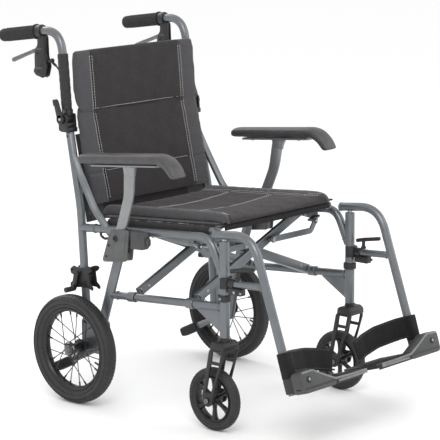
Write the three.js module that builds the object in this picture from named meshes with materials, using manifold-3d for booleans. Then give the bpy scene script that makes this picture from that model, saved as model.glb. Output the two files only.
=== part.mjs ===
// Lightweight folding transit wheelchair. Millimetres, +Z up, the chair faces -Y, X = 0 is its middle.
// Everything is drawn with Y = 0 at the rear axles and moved at the end:
// the origin is on the ground, half-way along.
// "right" and "left" are the sitter's: the right side is at -X. Each pair is built once, with side -1 or 1.
import * as THREE from "three";
import { mergeVertices } from "three/addons/utils/BufferGeometryUtils.js";
import Module from "manifold-3d";

const wasm = await Module();
wasm.setup();

// ---- driving dimensions ----
const MIDDLE_Y = -216.3; // halfway from the footplates to the push grips
const FRAME_X = 243; // side frame plane, from the middle
const CANE_X = 229; // push handle plane
const RAIL_PITCH = THREE.MathUtils.degToRad(4.06); // side rails rise towards the front
const LOW_RAIL_Z = 281.8; // lower rail's axis above the rear axles' plane
const HIGH_RAIL_W = 169.7; // upper rail above the lower one, square to both
const TUBE = 11; // main tube radius
const POST = 12.5; // front post radius
const POST_Y = -477.5;
const SLOT = 0.4; // gap between pieces that touch

const REAR_X = 297;
const REAR_RADIUS = 142;
const REAR_WIDTH = 42;
const CASTER_X = 245;
const CASTER_AXLE_Y = -444;
const CASTER_RADIUS = 79;
const CASTER_WIDTH = 28;

const BACK_HINGE = [77, 728]; // y, z of the back's fold axis
const ARM_PIVOT = [-142, 448]; // y, z
const ARM_X = 270;
const PAD_X = 289;

const SEAT_RAIL_X = 221;
const SEAT_RAIL_W = 182.7;
const CENTRE_W = (SEAT_RAIL_W * FRAME_X) / (FRAME_X + SEAT_RAIL_X); // height of the scissor's middle bolt
const STAY_PIVOT = [222, 140]; // x, w of the stay's pin on the side frame
const STAY_BOLT = [52.6, 116.4]; // x, w of the stay's bolt on the cross bar
const STAY_V = -388.5; // the stays' place along the rails

const HANGER_RAKE = THREE.MathUtils.degToRad(17.5); // lower tube and footplate lean forward
const HANGER_FOOT = [-698, 134]; // y, z of the lower tube's end
const PLATE_PIVOT = [243, 32]; // x and height of the footplate's hinge, in the raked frame

// ---- making solids ----
const point = (x, y, z) => new THREE.Vector3(x, y, z);

function toSolid(geometry) {
  const bare = new THREE.BufferGeometry();
  const source = geometry.index ? geometry.toNonIndexed() : geometry;
  bare.setAttribute("position", source.getAttribute("position"));
  const merged = mergeVertices(bare, 1e-3);
  const vertProperties = merged.attributes.position.array;
  const triVerts = new Uint32Array(merged.index.array);
  const corners = [point(), point(), point()];
  let volume = 0;
  for (let i = 0; i < triVerts.length; i += 3) {
    corners.forEach((c, k) => c.fromArray(vertProperties, 3 * triVerts[i + k]));
    volume += corners[0].dot(corners[1].clone().cross(corners[2]));
  }
  if (volume < 0) triVerts.reverse();
  return new wasm.Manifold(new wasm.Mesh({ numProp: 3, vertProperties, triVerts }));
}

function toGeometry(solid) {
  const mesh = solid.getMesh();
  const geometry = new THREE.BufferGeometry();
  geometry.setAttribute("position", new THREE.BufferAttribute(mesh.vertProperties, 3));
  geometry.setIndex(new THREE.BufferAttribute(mesh.triVerts, 1));
  return geometry;
}

const join = (...pieces) => toGeometry(pieces.map(toSolid).reduce((all, next) => all.add(next)));
const cut = (body, ...tools) =>
  toGeometry(tools.map(toSolid).reduce((rest, tool) => rest.subtract(tool), toSolid(body)));

// A route of straight stretches joined by round bends, with points only where it turns.
class Route extends THREE.Curve {
  constructor(corners, bend = 0) {
    super();
    this.stops = [corners[0]];
    for (let i = 1; i < corners.length - 1; i++) this.turn(corners, i, bend);
    this.stops.push(corners.at(-1));
  }
  turn(corners, i, bend) {
    const back = corners[i - 1].clone().sub(corners[i]);
    const ahead = corners[i + 1].clone().sub(corners[i]);
    const angle = Math.PI - back.angleTo(ahead);
    const longest = 0.48 * Math.min(back.length(), ahead.length());
    const reach = Math.min(bend * Math.tan(angle / 2), longest);
    const start = corners[i].clone().addScaledVector(back.normalize(), reach);
    const end = corners[i].clone().addScaledVector(ahead.normalize(), reach);
    const steps = Math.max(1, Math.ceil(angle / 0.3));
    const arc = new THREE.QuadraticBezierCurve3(start, corners[i], end);
    if (reach < 0.5) this.stops.push(corners[i]);
    else this.stops.push(...arc.getPoints(steps));
  }
  getSpacedPoints() {
    return this.stops;
  }
  getTangentAt(u) {
    const i = Math.round(u * (this.stops.length - 1));
    const before = this.stops[Math.max(i - 1, 0)];
    const after = this.stops[Math.min(i + 1, this.stops.length - 1)];
    return after.clone().sub(before).normalize();
  }
}

// An outline with the given half sizes and number of sides.
function oval(halfX, halfY = halfX, sides = 12) {
  const turn = (k) => ((k + 0.5) * 2 * Math.PI) / sides;
  const corner = (k) => new THREE.Vector2(halfX * Math.cos(turn(k)), halfY * Math.sin(turn(k)));
  return new THREE.Shape(Array.from({ length: sides }, (_, k) => corner(k)));
}

function bar(halfX, halfY) {
  const signs = [[-1, -1], [1, -1], [1, 1], [-1, 1]];
  return new THREE.Shape(signs.map(([a, b]) => new THREE.Vector2(a * halfX, b * halfY)));
}

function sweep(section, corners, bend) {
  const route = new Route(corners, bend);
  const steps = route.stops.length - 1;
  return new THREE.ExtrudeGeometry(section, { steps, bevelEnabled: false, extrudePath: route });
}

const rod = (from, to, radius, sides = 12) => sweep(oval(radius, radius, sides), [from, to]);

// A flat plate from an outline of [y, z] pairs, between two x planes.
function plate(outline, xa, xb) {
  const shape = new THREE.Shape(outline.map(([y, z]) => new THREE.Vector2(y, z)));
  const flat = new THREE.ExtrudeGeometry(shape, { depth: Math.abs(xb - xa), bevelEnabled: false });
  const turned = new THREE.Matrix4().makeBasis(point(0, 1, 0), point(0, 0, 1), point(1, 0, 0));
  return flat.applyMatrix4(turned).translate(Math.min(xa, xb), 0, 0);
}

function box(low, high) {
  const size = high.map((v, i) => Math.abs(v - low[i]));
  const middle = high.map((v, i) => (v + low[i]) / 2);
  return new THREE.BoxGeometry(...size).translate(...middle);
}

// A ring or disc round an axis along X: profile of [radius, x] pairs.
function wheel(profile, sides, x, y, z) {
  const points = profile.map(([radius, along]) => new THREE.Vector2(radius, along));
  return new THREE.LatheGeometry(points, sides).rotateZ(-Math.PI / 2).translate(x, y, z);
}

// ---- places worked out from the dimensions ----
const TILT = new THREE.Matrix4().makeRotationX(-RAIL_PITCH).setPosition(0, 0, LOW_RAIL_Z);
// A point in the rails' own frame: x, v along the rails towards the back, w square above the lower rail.
const onRails = (x, v, w) => point(x, v, w).applyMatrix4(TILT);
const RAKE = new THREE.Matrix4().makeRotationX(-HANGER_RAKE).setPosition(0, ...HANGER_FOOT);
const inRake = (x, y, z) => point(x, y, z).applyMatrix4(RAKE);
const lowRailZ = (y) => LOW_RAIL_Z - y * Math.tan(RAIL_PITCH);
const highRailZ = (y) => lowRailZ(y) + HIGH_RAIL_W / Math.cos(RAIL_PITCH);

// The rear post, or a tool that follows it and runs on past its top end.
const postRoute = (s, past = 0) => [
  point(s * FRAME_X, 3, 160),
  point(s * (FRAME_X - 1), 22, 500),
  point(s * (233.5 - 0.04 * past), 67 + 0.22 * past, 703 + 0.98 * past),
];

// ---- side frame ----
function sideFrame(s) {
  const x = s * FRAME_X;
  const strutTop = [point(s * 238, 52, 640), point(s * 240, 24, 590)];
  const strut = [...strutTop, point(s * 243, -30, 503), point(s * 245, -90, 447)];
  const upperRail = [point(x, 19, highRailZ(19)), point(x, -432, highRailZ(-432)), point(x, -472, 396)];
  const tubes = [
    sweep(oval(TUBE), postRoute(s), 300),
    sweep(oval(9.5), strut, 120),
    sweep(oval(TUBE), upperRail, 50),
    rod(point(x, POST_Y, 479.5), point(x, POST_Y, 238.5), POST),
    rod(point(x, -90, lowRailZ(-90)), point(x, POST_Y, lowRailZ(POST_Y)), 10),
    sweep(oval(8.5, 15), [point(s * 245, -133, 436), point(s * 246, -36, 154)]),
    plate([[-60, 125], [12, 125], [17, 150], [17, 215], [-44, 222], [-78, 215]], s * 238, s * 254),
    plate([[-376, 303], [-474, 312], [-484, 252], [-468, 248]], s * 240, s * 246),
    sweep(oval(9), [point(x, -10, 128), point(x, 20, 112), point(x, 78, 84)], 20),
    stayBracket(s),
  ];
  const socket = rod(point(x, POST_Y, 452), point(x, POST_Y, 490), 6.9);
  const stem = rod(point(s * CASTER_X, POST_Y, 200), point(s * CASTER_X, POST_Y, 262), 6.9);
  return cut(join(...tubes), socket, stem);
}

function stayBracket(s) {
  const [px, pw] = STAY_PIVOT;
  const top = highRailZ(-280);
  const outline = [[-205, top - 10], [-345, top - 22], [-372, top - 20], [-372, top + 2]];
  const web = plate(outline, s * 236, s * 241);
  const lugRoute = [onRails(s * 243, STAY_V + 10, 150), onRails(s * (px - 7), STAY_V + 10, pw)];
  const lug = sweep(bar(3, 11), lugRoute);
  const pin = rod(onRails(s * px, STAY_V + 12, pw), onRails(s * px, STAY_V - 5, pw), 4);
  return join(web, lug, pin);
}

// A block of rubber pushed over the end of the tipping arm.
function tippingPedal(s) {
  const block = box([s * (FRAME_X - 17), 64, 68], [s * (FRAME_X + 17), 130, 101]);
  const arm = [point(s * FRAME_X, 20, 112), point(s * FRAME_X, 79, 83.5)];
  return cut(block, sweep(oval(9 + SLOT), arm));
}

// ---- back canes and their fold ----
function hingeLower(s) {
  const [y, z] = BACK_HINGE;
  const inner = s * 216;
  const outer = s * 251;
  const foot = box([inner, y - 24, z - 34], [outer, y + 7, z - 21]);
  const cheek = [[y - 20, z - 30], [y + 12, z - 30], [y + 13, z + 8], [y + 5, z + 13], [y - 17, z + 13]];
  const block = join(foot, plate(cheek, inner, s * 221.5), plate(cheek, s * 245.5, outer));
  const pin = rod(point(s * 214, y, z), point(s * 260.5, y, z), 4);
  const sleeve = sweep(oval(TUBE + SLOT), postRoute(s, SLOT), 300);
  return join(cut(block, sleeve), pin);
}

function cane(s) {
  const [y, z] = BACK_HINGE;
  const route = [
    point(s * 233.5, y - 3, z + 14),
    point(s * CANE_X, 96, 957),
    point(s * (CANE_X - 1), 316, 928),
  ];
  const knuckle = wheel([[0, -11], [13, -11], [13, 11], [0, 11]], 16, s * 233.5, y, z);
  const neck = box([s * 223, y - 17, z + 3], [s * 244, y + 9, z + 27]);
  const bore = rod(point(s * 200, y, z), point(s * 270, y, z), 4 + SLOT);
  return cut(join(sweep(oval(TUBE), route, 62), knuckle, neck), bore);
}

// The release lever sits on the outer end of the fold's pin.
function backLever(s) {
  const [y, z] = BACK_HINGE;
  const boss = wheel([[0, -3.5], [12, -3.5], [12, 3.5], [0, 3.5]], 14, s * 255.5, y, z - 2);
  const outline = [[y - 9, z + 4], [y + 9, z - 4], [y + 23, z + 46], [y + 16, z + 52], [y + 8, z + 48]];
  const arm = plate(outline, s * 252, s * 259);
  return cut(join(boss, arm), rod(point(s * 200, y, z), point(s * 270, y, z), 4 + SLOT));
}

function grip(s) {
  const from = point(s * (CANE_X - 0.6), 184, 945.3);
  const to = point(s * (CANE_X - 1), 321, 927.3);
  const bore = rod(from.clone().lerp(to, -0.1), from.clone().lerp(to, 0.97), TUBE + SLOT);
  return cut(rod(from, to, 17, 16), bore);
}

function brakeHousing(s) {
  const x = s * (CANE_X - 0.5);
  const ring = rod(point(x, 163, 948.2), point(x, 182, 945.7), 17, 16);
  const outline = [
    [152, 938], [175, 938], [176, 922], [186, 905], [200, 880],
    [200, 838], [152, 830], [138, 868], [150, 892],
  ];
  const body = plate(outline, x - 9, x + 9);
  const tube = rod(point(x, 140, 951.2), point(x, 210, 942), TUBE + SLOT);
  const slit = box([x - 4.5, 172, 884], [x + 4.5, 210, 912]);
  return cut(join(ring, body), tube, slit);
}

function brakeLever(s) {
  const stops = [[176, 900], [205, 892], [245, 878], [278, 866]];
  return sweep(oval(4, 5, 8), stops.map(([y, z]) => point(s * (CANE_X - 0.5), y, z)), 40);
}

// The cable leaves the lever's housing, runs down inside the cane and ends in the caliper.
const CABLE = [
  [224, 136, 868], [219, 122, 856], [213, 108, 830], [210, 100, 780], [209.5, 99, 728],
  [211, 92, 670], [216, 76, 590], [220, 58, 520], [222, 48, 460], [224, 42, 410], [226, 38, 372],
];
function brakeCable(s) {
  const stops = CABLE.map(([x, y, z]) => point(s * x, y, z));
  return sweep(oval(2.5, 2.5, 8), stops, 30);
}

function brakeCaliper(s) {
  const outline = [[-16, 300], [-14, 346], [4, 356], [24, 352], [46, 364], [52, 340], [40, 296], [10, 288]];
  const body = plate(outline, s * 229, s * 259);
  return cut(body, sweep(oval(TUBE + SLOT), postRoute(s), 300));
}

const SHOE = [32, 291]; // y, z of the brake rod's middle
function brakeShoe(s) {
  const arm = sweep(bar(3, 7), [point(s * 263, 20, 335), point(s * 263, ...SHOE)]);
  return join(arm, rod(point(s * 260.5, ...SHOE), point(s * 294, ...SHOE), 7));
}

// ---- armrest ----
function armSocket(s) {
  const outline = [[-91, 381], [-124, 468], [-191, 475], [-180, 393]];
  const inner = plate(outline, s * 257, s * 262);
  const outer = plate(outline, s * 277.3, s * 281.5);
  const sill = plate([[-95, 386], [-104, 412], [-178, 414], [-175, 396]], s * 261, s * 278);
  const catchBox = [[-192, 427], [-192, 473], [-232, 473], [-241, 463], [-241, 437], [-234, 429]];
  const latch = plate(catchBox, s * 257, s * 279);
  const tie = plate([[-180, 440], [-180, 472], [-194, 472], [-194, 440]], s * 257, s * 262);
  const pin = rod(point(s * 258, ...ARM_PIVOT), point(s * 284, ...ARM_PIVOT), 4.5);
  return join(inner, outer, sill, latch, tie, pin);
}

function armPost(s) {
  const [y, z] = ARM_PIVOT;
  const foot = point(s * ARM_X, y + 10, z - 19);
  const route = [foot, point(s * ARM_X, -155, 476), point(s * 276, -189, 560), point(s * 283, -199, 640)];
  const post = sweep(oval(6.6, 16), route, 120);
  const strap = sweep(bar(14, 3.2), [point(s * 286, -78, 629.7), point(s * 286, -304, 650.1)]);
  return cut(join(post, strap), rod(point(s * 250, y, z), point(s * 300, y, z), 4.5 + SLOT));
}

function armPad(s) {
  const outline = [
    [-34, 629.5], [-316, 655], [-340, 644], [-360, 622], [-379, 629],
    [-371, 655], [-342, 677], [-316, 682], [-38, 656.5],
  ];
  return plate(outline, s * (PAD_X - 24), s * (PAD_X + 24));
}

// ---- rear wheels ----
function tyre(radius, width, depth, sides, x, y) {
  const h = width / 2;
  const inner = radius - depth;
  const wall = [[inner, 0.62 * h], [radius - 0.55 * depth, h]];
  const half = [...wall, [radius - 0.12 * depth, 0.7 * h], [radius, 0.3 * h]];
  const otherHalf = half.map(([r, along]) => [r, -along]);
  const profile = [...otherHalf, ...half.reverse(), otherHalf[0]];
  return wheel(profile, sides, x, y, radius);
}

// Rim, hub and thin spokes in one casting, with a bore for the axle.
function spokedWheel(s, x, { y, z, rim, width, hub, hubEnds, spokes, spoke, bore, sides }) {
  const [rimOut, rimIn] = rim;
  const [near, far] = hubEnds.map((end) => s * end);
  const h = width / 2;
  const ring = [[rimIn, -0.7 * h], [rimOut, -h], [rimOut, h], [rimIn, 0.7 * h], [rimIn, -0.7 * h]];
  const core = [[bore, near], [hub, near], [hub, far], [bore, far], [bore, near]];
  const parts = [wheel(ring, sides, s * x, y, z), wheel(core, 16, s * x, y, z)];
  for (let k = 0; k < spokes; k++) {
    const turn = (k * 2 * Math.PI) / spokes;
    const at = (r) => point(s * x, y + r * Math.sin(turn), z + r * Math.cos(turn));
    parts.push(sweep(bar(...spoke), [at(hub - 2), at(rimIn + 2)]));
  }
  return join(...parts);
}

function rearAxle(s) {
  const at = (x) => point(s * x, 0, REAR_RADIUS);
  return join(rod(at(254.4), at(325), 6), rod(at(254.4), at(262.6), 11), rod(at(318.5), at(326), 10));
}

// ---- casters ----
function casterFork(s) {
  const x = s * CASTER_X;
  const blade = (a, b) => cut(
    plate([[-505, 214], [-452, 214], [-426, 90], [-430, 70], [-444, 61], [-459, 70], [-466, 92]], a, b),
    plate([[-489, 200], [-466, 200], [-462, 182], [-486, 182]], a - 10, b + 10),
    plate([[-482, 170], [-459, 170], [-444, 100], [-456, 100]], a - 10, b + 10));
  const crown = box([x - 29, -507, 208], [x + 29, -450, 231]);
  const shoulder = rod(point(x, POST_Y, 220), point(x, POST_Y, 238), 11);
  const stem = rod(point(x, POST_Y, 225), point(x, POST_Y, 258), 6);
  const axle = (along) => point(x + along, CASTER_AXLE_Y, CASTER_RADIUS);
  const body = join(crown, shoulder, stem, blade(x - 29, x - 23), blade(x + 23, x + 29));
  return cut(body, rod(axle(-40), axle(40), 5));
}

function casterAxle(s) {
  const at = (along) => point(s * CASTER_X + along, CASTER_AXLE_Y, CASTER_RADIUS);
  return join(rod(at(-32), at(32), 4.6), rod(at(-34), at(-29.4), 8), rod(at(29.4), at(34), 8));
}

// ---- cross brace and stays ----
// One half of the scissor: two flat bars, their sleeves on the lower rail, and the seat rail on their tops.
// Like the bolt and the stays it is drawn in the rails' frame and tilted with them at the end.
function crossBar(s, stations) {
  const parts = [];
  for (const v of stations) {
    const low = point(-s * FRAME_X, v, 0);
    const high = point(s * SEAT_RAIL_X, v, SEAT_RAIL_W);
    const sleeve = rod(point(-s * FRAME_X, v - 12, 0), point(-s * FRAME_X, v + 12, 0), 15.5, 14);
    parts.push(sleeve, sweep(bar(6, 12.5), [low.clone().lerp(high, 0.02), high]));
  }
  parts.push(rod(point(s * SEAT_RAIL_X, -440, SEAT_RAIL_W), point(s * SEAT_RAIL_X, -75, SEAT_RAIL_W), 10));
  const rail = rod(point(-s * FRAME_X, -480, 0), point(-s * FRAME_X, 0, 0), 10.9, 14);
  const bolt = rod(point(0, -420, CENTRE_W), point(0, -100, CENTRE_W), 5 + SLOT);
  return cut(join(...parts), rail, bolt).applyMatrix4(TILT);
}

function centreBolt() {
  const at = (v) => point(0, v, CENTRE_W);
  const heads = [rod(at(-378.5), at(-373.5), 9), rod(at(-143), at(-138), 9)];
  return join(rod(at(-378.5), at(-138), 5), ...heads).applyMatrix4(TILT);
}

// The stay's lower end is riveted to the bar behind it, which starts at the given place along the rails.
function stayLink(s, barFront) {
  const at = (x, w) => point(s * x, STAY_V, w);
  const [px, pw] = STAY_PIVOT;
  const [qx, qw] = STAY_BOLT;
  const strap = sweep(bar(2, 8), [at(px, pw), at(px - 20, pw - 24), at(qx, qw)], 6);
  const eye = (x, w, v) => rod(point(s * x, STAY_V - 2, w), point(s * x, v, w), 9.5);
  const rivet = rod(point(s * qx, STAY_V - 5, qw), point(s * qx, barFront - SLOT, qw), 6);
  const hole = rod(point(s * px, STAY_V - 9, pw), point(s * px, STAY_V + 9, pw), 4 + SLOT);
  const link = join(strap, eye(px, pw, STAY_V + 2), eye(qx, qw, STAY_V + 2), rivet);
  return cut(link, hole).applyMatrix4(TILT);
}

// ---- swing-away hangers and footplates ----
function hanger(s) {
  const x = s * 245;
  const [px, pz] = PLATE_PIVOT;
  const tube = sweep(oval(TUBE), [point(s * 243, -446, 491), point(x, -571, 504), inRake(x, 0, 0)], 90);
  const strut = rod(point(x, -497, 377), point(x, -616, 384), 9);
  const pin = rod(point(s * 243, POST_Y, 492), point(s * 243, POST_Y, 458), 6);
  const collar = cut(
    rod(point(s * 243, POST_Y, 364), point(s * 243, POST_Y, 391), 20, 16),
    rod(point(s * 243, POST_Y, 360), point(s * 243, POST_Y, 395), POST + 1, 16),
    box([s * 200, POST_Y, 350], [s * 290, POST_Y + 40, 400]));
  const latch = box([s * 233, -552, 350], [s * 257, -495, 369.5]);
  const knuckle = box([s * 234, -26.4, pz - 20], [s * 258, 0, pz + 20]).applyMatrix4(RAKE);
  const hinge = rod(inRake(s * px, -10, pz), inRake(s * px, -63, pz), 4.5);
  return join(tube, strut, pin, collar, latch, knuckle, hinge);
}

function hangerCollar(s) {
  const at = (z) => point(s * 243, POST_Y, z);
  return cut(rod(at(330), at(347), 17, 16), rod(at(320), at(360), POST + SLOT));
}

function latchLever(s) {
  const stem = rod(point(s * 244, -522, 388.4), point(s * 244, -522, 414), 4.5, 10);
  return join(stem, sweep(oval(5.5, 5.5, 10), [point(s * 244, -503, 410), point(s * 244, -573, 422)]));
}

// The plate's inner end is thinner, so that the two plates clear each other as they flip up.
function footplate(s) {
  const [px, pz] = PLATE_PIVOT;
  const solidOf = (outline, depth) => {
    const shape = new THREE.Shape(outline.map(([x, v]) => new THREE.Vector2(s * x, v)));
    return new THREE.ExtrudeGeometry(shape, { depth, bevelEnabled: false });
  };
  const tread = solidOf([
    [270, -60], [270, -27], [232, -27], [200, 18], [186, 66],
    [176, 74], [38, 74], [24, 60], [24, -44], [38, -60],
  ], 18).translate(0, 0, -2);
  const flange = solidOf([[270, 0], [270, 53], [225, 53], [150, 18], [150, 0]], 33);
  const thinning = solidOf([[14, 8], [14, -12], [70, -12], [66, -2]], 160);
  const body = join(tread, flange.rotateX(Math.PI / 2).translate(0, -27, 0));
  const bore = rod(point(s * px, -80, pz), point(s * px, 0, pz), 4.5 + SLOT);
  return cut(body, thinning.rotateX(Math.PI / 2).translate(0, 90, 0), bore).applyMatrix4(RAKE);
}

function heelLoop(s) {
  const stops = [[227, -671, 207], [190, -655, 200], [140, -645, 193], [90, -646, 183], [48, -656, 174]];
  return sweep(bar(29, 1.6), stops.map(([x, y, z]) => point(s * x, y, z)), 60);
}

// ---- soft pieces, as plain solids ----
function seatCushion() {
  const half = 213;
  const front = -466;
  const round = 14;
  const shape = new THREE.Shape();
  shape.moveTo(-half, -30);
  shape.lineTo(-half, front + round);
  shape.absarc(-half + round, front + round, round, Math.PI, 1.5 * Math.PI);
  shape.absarc(half - round, front + round, round, 1.5 * Math.PI, 2 * Math.PI);
  shape.lineTo(half, -30);
  const slab = new THREE.ExtrudeGeometry(shape, { depth: 30, bevelEnabled: false, curveSegments: 4 });
  return slab.translate(0, 0, SEAT_RAIL_W + 14).applyMatrix4(TILT);
}

// The back's halves meet in a round joint about the fold axis, so the seam stays closed as the top turns.
const BACK_ARC = 37;
const BACK_HALF = 221.5;
const BACK_FACE = [[-11, 508], [11, 600], [40, BACK_HINGE[1]]];
function hingeArc(radius, from, to, count) {
  const [y, z] = BACK_HINGE;
  const at = (a) => [y - radius * Math.cos(a), z + radius * Math.sin(a)];
  return Array.from({ length: count + 1 }, (_, k) => at(from + ((to - from) * k) / count));
}

function backLower() {
  const rim = hingeArc(BACK_ARC, 0, 1.09, 4);
  const outline = [...BACK_FACE.slice(0, 2), ...rim, [40, 660], [34, 600], [12, 508]];
  return plate(outline, -BACK_HALF, BACK_HALF);
}

function backUpper() {
  const rim = hingeArc(BACK_ARC + SLOT, 0.01, 1.09, 4);
  return plate([...rim, [72, 892], [66, 904], [54, 902], [50, 892]], -BACK_HALF, BACK_HALF);
}

// ---- the assembly ----
const COLOURS = {
  frame: [0x83878c, 0.38, 0.75],
  pale: [0x9a9c9f, 0.4, 0.7],
  plastic: [0x242426, 0.55, 0],
  rubber: [0x333335, 0.85, 0],
  fabric: [0x3b3738, 0.95, 0],
  webbing: [0x1d1c1e, 0.9, 0],
  steel: [0x8c8f93, 0.3, 0.9],
};

const group = new THREE.Group();

function add(name, geometry, finish) {
  const [color, roughness, metalness] = COLOURS[finish];
  const material = new THREE.MeshStandardMaterial({ color, roughness, metalness });
  const mesh = new THREE.Mesh(toGeometry(toSolid(geometry)), material);
  mesh.position.y = -MIDDLE_Y;
  mesh.name = name;
  group.add(mesh);
}

const REAR_RIM = {
  y: 0, z: REAR_RADIUS, rim: [108.2, 98.5], width: 27, hub: 21, hubEnds: [-34, 21],
  spokes: 12, spoke: [2, 2], bore: 6.5, sides: 36,
};
const CASTER_RIM = {
  y: CASTER_AXLE_Y, z: CASTER_RADIUS, rim: [56.7, 52], width: 22, hub: 14, hubEnds: [-20, 20],
  spokes: 6, spoke: [6, 4], bore: 5.1, sides: 28,
};

for (const [side, s] of [["right", -1], ["left", 1]]) {
  add(`side_frame_${side}`, sideFrame(s), "frame");
  add(`back_hinge_${side}`, hingeLower(s), "plastic");
  add(`back_lever_${side}`, backLever(s), "plastic");
  add(`cane_${side}`, cane(s), "frame");
  add(`push_grip_${side}`, grip(s), "rubber");
  add(`brake_housing_${side}`, brakeHousing(s), "plastic");
  add(`brake_lever_${side}`, brakeLever(s), "pale");
  add(`brake_cable_${side}`, brakeCable(s), "plastic");
  add(`brake_caliper_${side}`, brakeCaliper(s), "plastic");
  add(`brake_shoe_${side}`, brakeShoe(s), "steel");
  add(`arm_socket_${side}`, armSocket(s), "plastic");
  add(`arm_post_${side}`, armPost(s), "pale");
  add(`arm_pad_${side}`, armPad(s), "plastic");
  add(`rear_tyre_${side}`, tyre(REAR_RADIUS, REAR_WIDTH, 33, 36, s * REAR_X, 0), "rubber");
  add(`rear_wheel_${side}`, spokedWheel(s, REAR_X, REAR_RIM), "plastic");
  add(`rear_axle_${side}`, rearAxle(s), "steel");
  add(`caster_fork_${side}`, casterFork(s), "plastic");
  const casterTyre = tyre(CASTER_RADIUS, CASTER_WIDTH, 21.5, 28, s * CASTER_X, CASTER_AXLE_Y);
  add(`caster_tyre_${side}`, casterTyre, "rubber");
  add(`caster_wheel_${side}`, spokedWheel(s, CASTER_X, CASTER_RIM), "plastic");
  add(`caster_axle_${side}`, casterAxle(s), "steel");
  add(`hanger_${side}`, hanger(s), "frame");
  add(`hanger_collar_${side}`, hangerCollar(s), "plastic");
  add(`latch_lever_${side}`, latchLever(s), "plastic");
  add(`footplate_${side}`, footplate(s), "frame");
  add(`heel_loop_${side}`, heelLoop(s), "webbing");
  add(`stay_link_${side}`, stayLink(s, s < 0 ? -359.6 : -373), "frame");
  add(`tipping_pedal_${side}`, tippingPedal(s), "rubber");
}
add("cross_bar_a", crossBar(1, [-367, -163]), "frame");
add("cross_bar_b", crossBar(-1, [-353.6, -149.6]), "frame");
add("centre_bolt", centreBolt(), "steel");
add("seat_cushion", seatCushion(), "fabric");
add("back_lower", backLower(), "fabric");
add("back_upper", backUpper(), "fabric");

export default group;
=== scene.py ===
import math

import bmesh
import bpy
from mathutils import Matrix, Vector
from mathutils.bvhtree import BVHTree


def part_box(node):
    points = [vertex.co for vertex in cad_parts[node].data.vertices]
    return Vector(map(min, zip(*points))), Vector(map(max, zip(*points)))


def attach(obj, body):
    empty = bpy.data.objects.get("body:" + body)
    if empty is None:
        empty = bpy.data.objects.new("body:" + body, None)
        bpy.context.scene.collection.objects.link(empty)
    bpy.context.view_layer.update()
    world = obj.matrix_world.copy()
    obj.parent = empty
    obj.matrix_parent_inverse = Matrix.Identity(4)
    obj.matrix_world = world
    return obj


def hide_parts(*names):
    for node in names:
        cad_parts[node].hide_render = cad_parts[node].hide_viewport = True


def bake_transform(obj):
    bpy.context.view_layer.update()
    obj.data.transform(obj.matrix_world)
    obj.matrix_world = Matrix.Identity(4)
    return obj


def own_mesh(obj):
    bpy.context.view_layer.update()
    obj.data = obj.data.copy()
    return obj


# Looks of the folding attendant wheelchair. Shapes are drawn in millimetres in the CAD's drawing frame:
# Z up from the ground, Y = 0 at the rear axles, the chair faces -Y. Paired pieces are drawn on the sitter's
# left, at +X, and mirrored for the right.
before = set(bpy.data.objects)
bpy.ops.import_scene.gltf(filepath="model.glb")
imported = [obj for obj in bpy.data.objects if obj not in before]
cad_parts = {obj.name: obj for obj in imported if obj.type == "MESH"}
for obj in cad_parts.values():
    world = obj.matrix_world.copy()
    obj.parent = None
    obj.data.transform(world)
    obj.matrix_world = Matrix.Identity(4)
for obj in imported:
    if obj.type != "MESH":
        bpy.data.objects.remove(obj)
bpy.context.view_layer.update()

MM = 0.001
AXLE_Y = sum(corner.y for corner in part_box("rear_axle_right")) / 2
SIDES = (("right", -1), ("left", 1))

# ---- driving dimensions, as in the CAD ----
FRAME_X = 243
POST_Y = -477.5
RAIL_PITCH = math.radians(4.06)
LOW_RAIL_Z = 281.8
HIGH_RAIL_W = 169.7
SEAT_RAIL = (221, 182.7)
STAY_PIN = (222, 140)
STAY_BOLT = (52.6, 116.4)
STAY_V = -388.5
BACK_HINGE = Vector((233.5, 77, 728))
ARM_PIVOT = (-142, 448)
PAD_X = 289
HANGER_RAKE = math.radians(17.5)
HANGER_FOOT = Vector((0, -698, 134))
CENTRE_W = SEAT_RAIL[1] * FRAME_X / (FRAME_X + SEAT_RAIL[0])
X, Y, Z = Vector((1, 0, 0)), Vector((0, 1, 0)), Vector((0, 0, 1))

RAILS = Matrix.Translation((0, 0, LOW_RAIL_Z)) @ Matrix.Rotation(-RAIL_PITCH, 4, "X")
RAKED = Matrix.Translation(HANGER_FOOT) @ Matrix.Rotation(-HANGER_RAKE, 4, "X")


def metres(v):
    return Vector((v[0] * MM, v[1] * MM + AXLE_Y, v[2] * MM))


def rail_z(y):
    """Height of the upper rail's axis at y."""
    return LOW_RAIL_Z - y * math.tan(RAIL_PITCH) + HIGH_RAIL_W / math.cos(RAIL_PITCH)


# ---- shapes: each returns a closed bmesh in millimetres ----
def rounded(corners, bend, step=0.12):
    """The corners joined by straight stretches and round bends."""
    points = [Vector(c) for c in corners]
    route = [points[0]]
    for before, corner, after in zip(points, points[1:], points[2:]):
        back, ahead = before - corner, after - corner
        turn = math.pi - back.angle(ahead)
        reach = min(bend * math.tan(turn / 2), 0.48 * back.length, 0.48 * ahead.length)
        start = corner + back.normalized() * reach
        end = corner + ahead.normalized() * reach
        count = max(1, math.ceil(turn / step))
        for k in range(count + 1):
            t = k / count
            route.append(start * (1 - t) ** 2 + corner * 2 * t * (1 - t) + end * t * t)
    return route + [points[-1]]


def circle(radius, sides=24, other=None):
    turns = [2 * math.pi * (k + 0.5) / sides for k in range(sides)]
    return [(radius * math.cos(a), (other or radius) * math.sin(a)) for a in turns]


def squircle(half_x, half_y, power=3.5, sides=32):
    """A rounded rectangle."""
    def soft(value):
        return math.copysign(abs(value) ** (2 / power), value)
    turns = [2 * math.pi * k / sides for k in range(sides)]
    return [(half_x * soft(math.cos(a)), half_y * soft(math.sin(a))) for a in turns]


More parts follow.
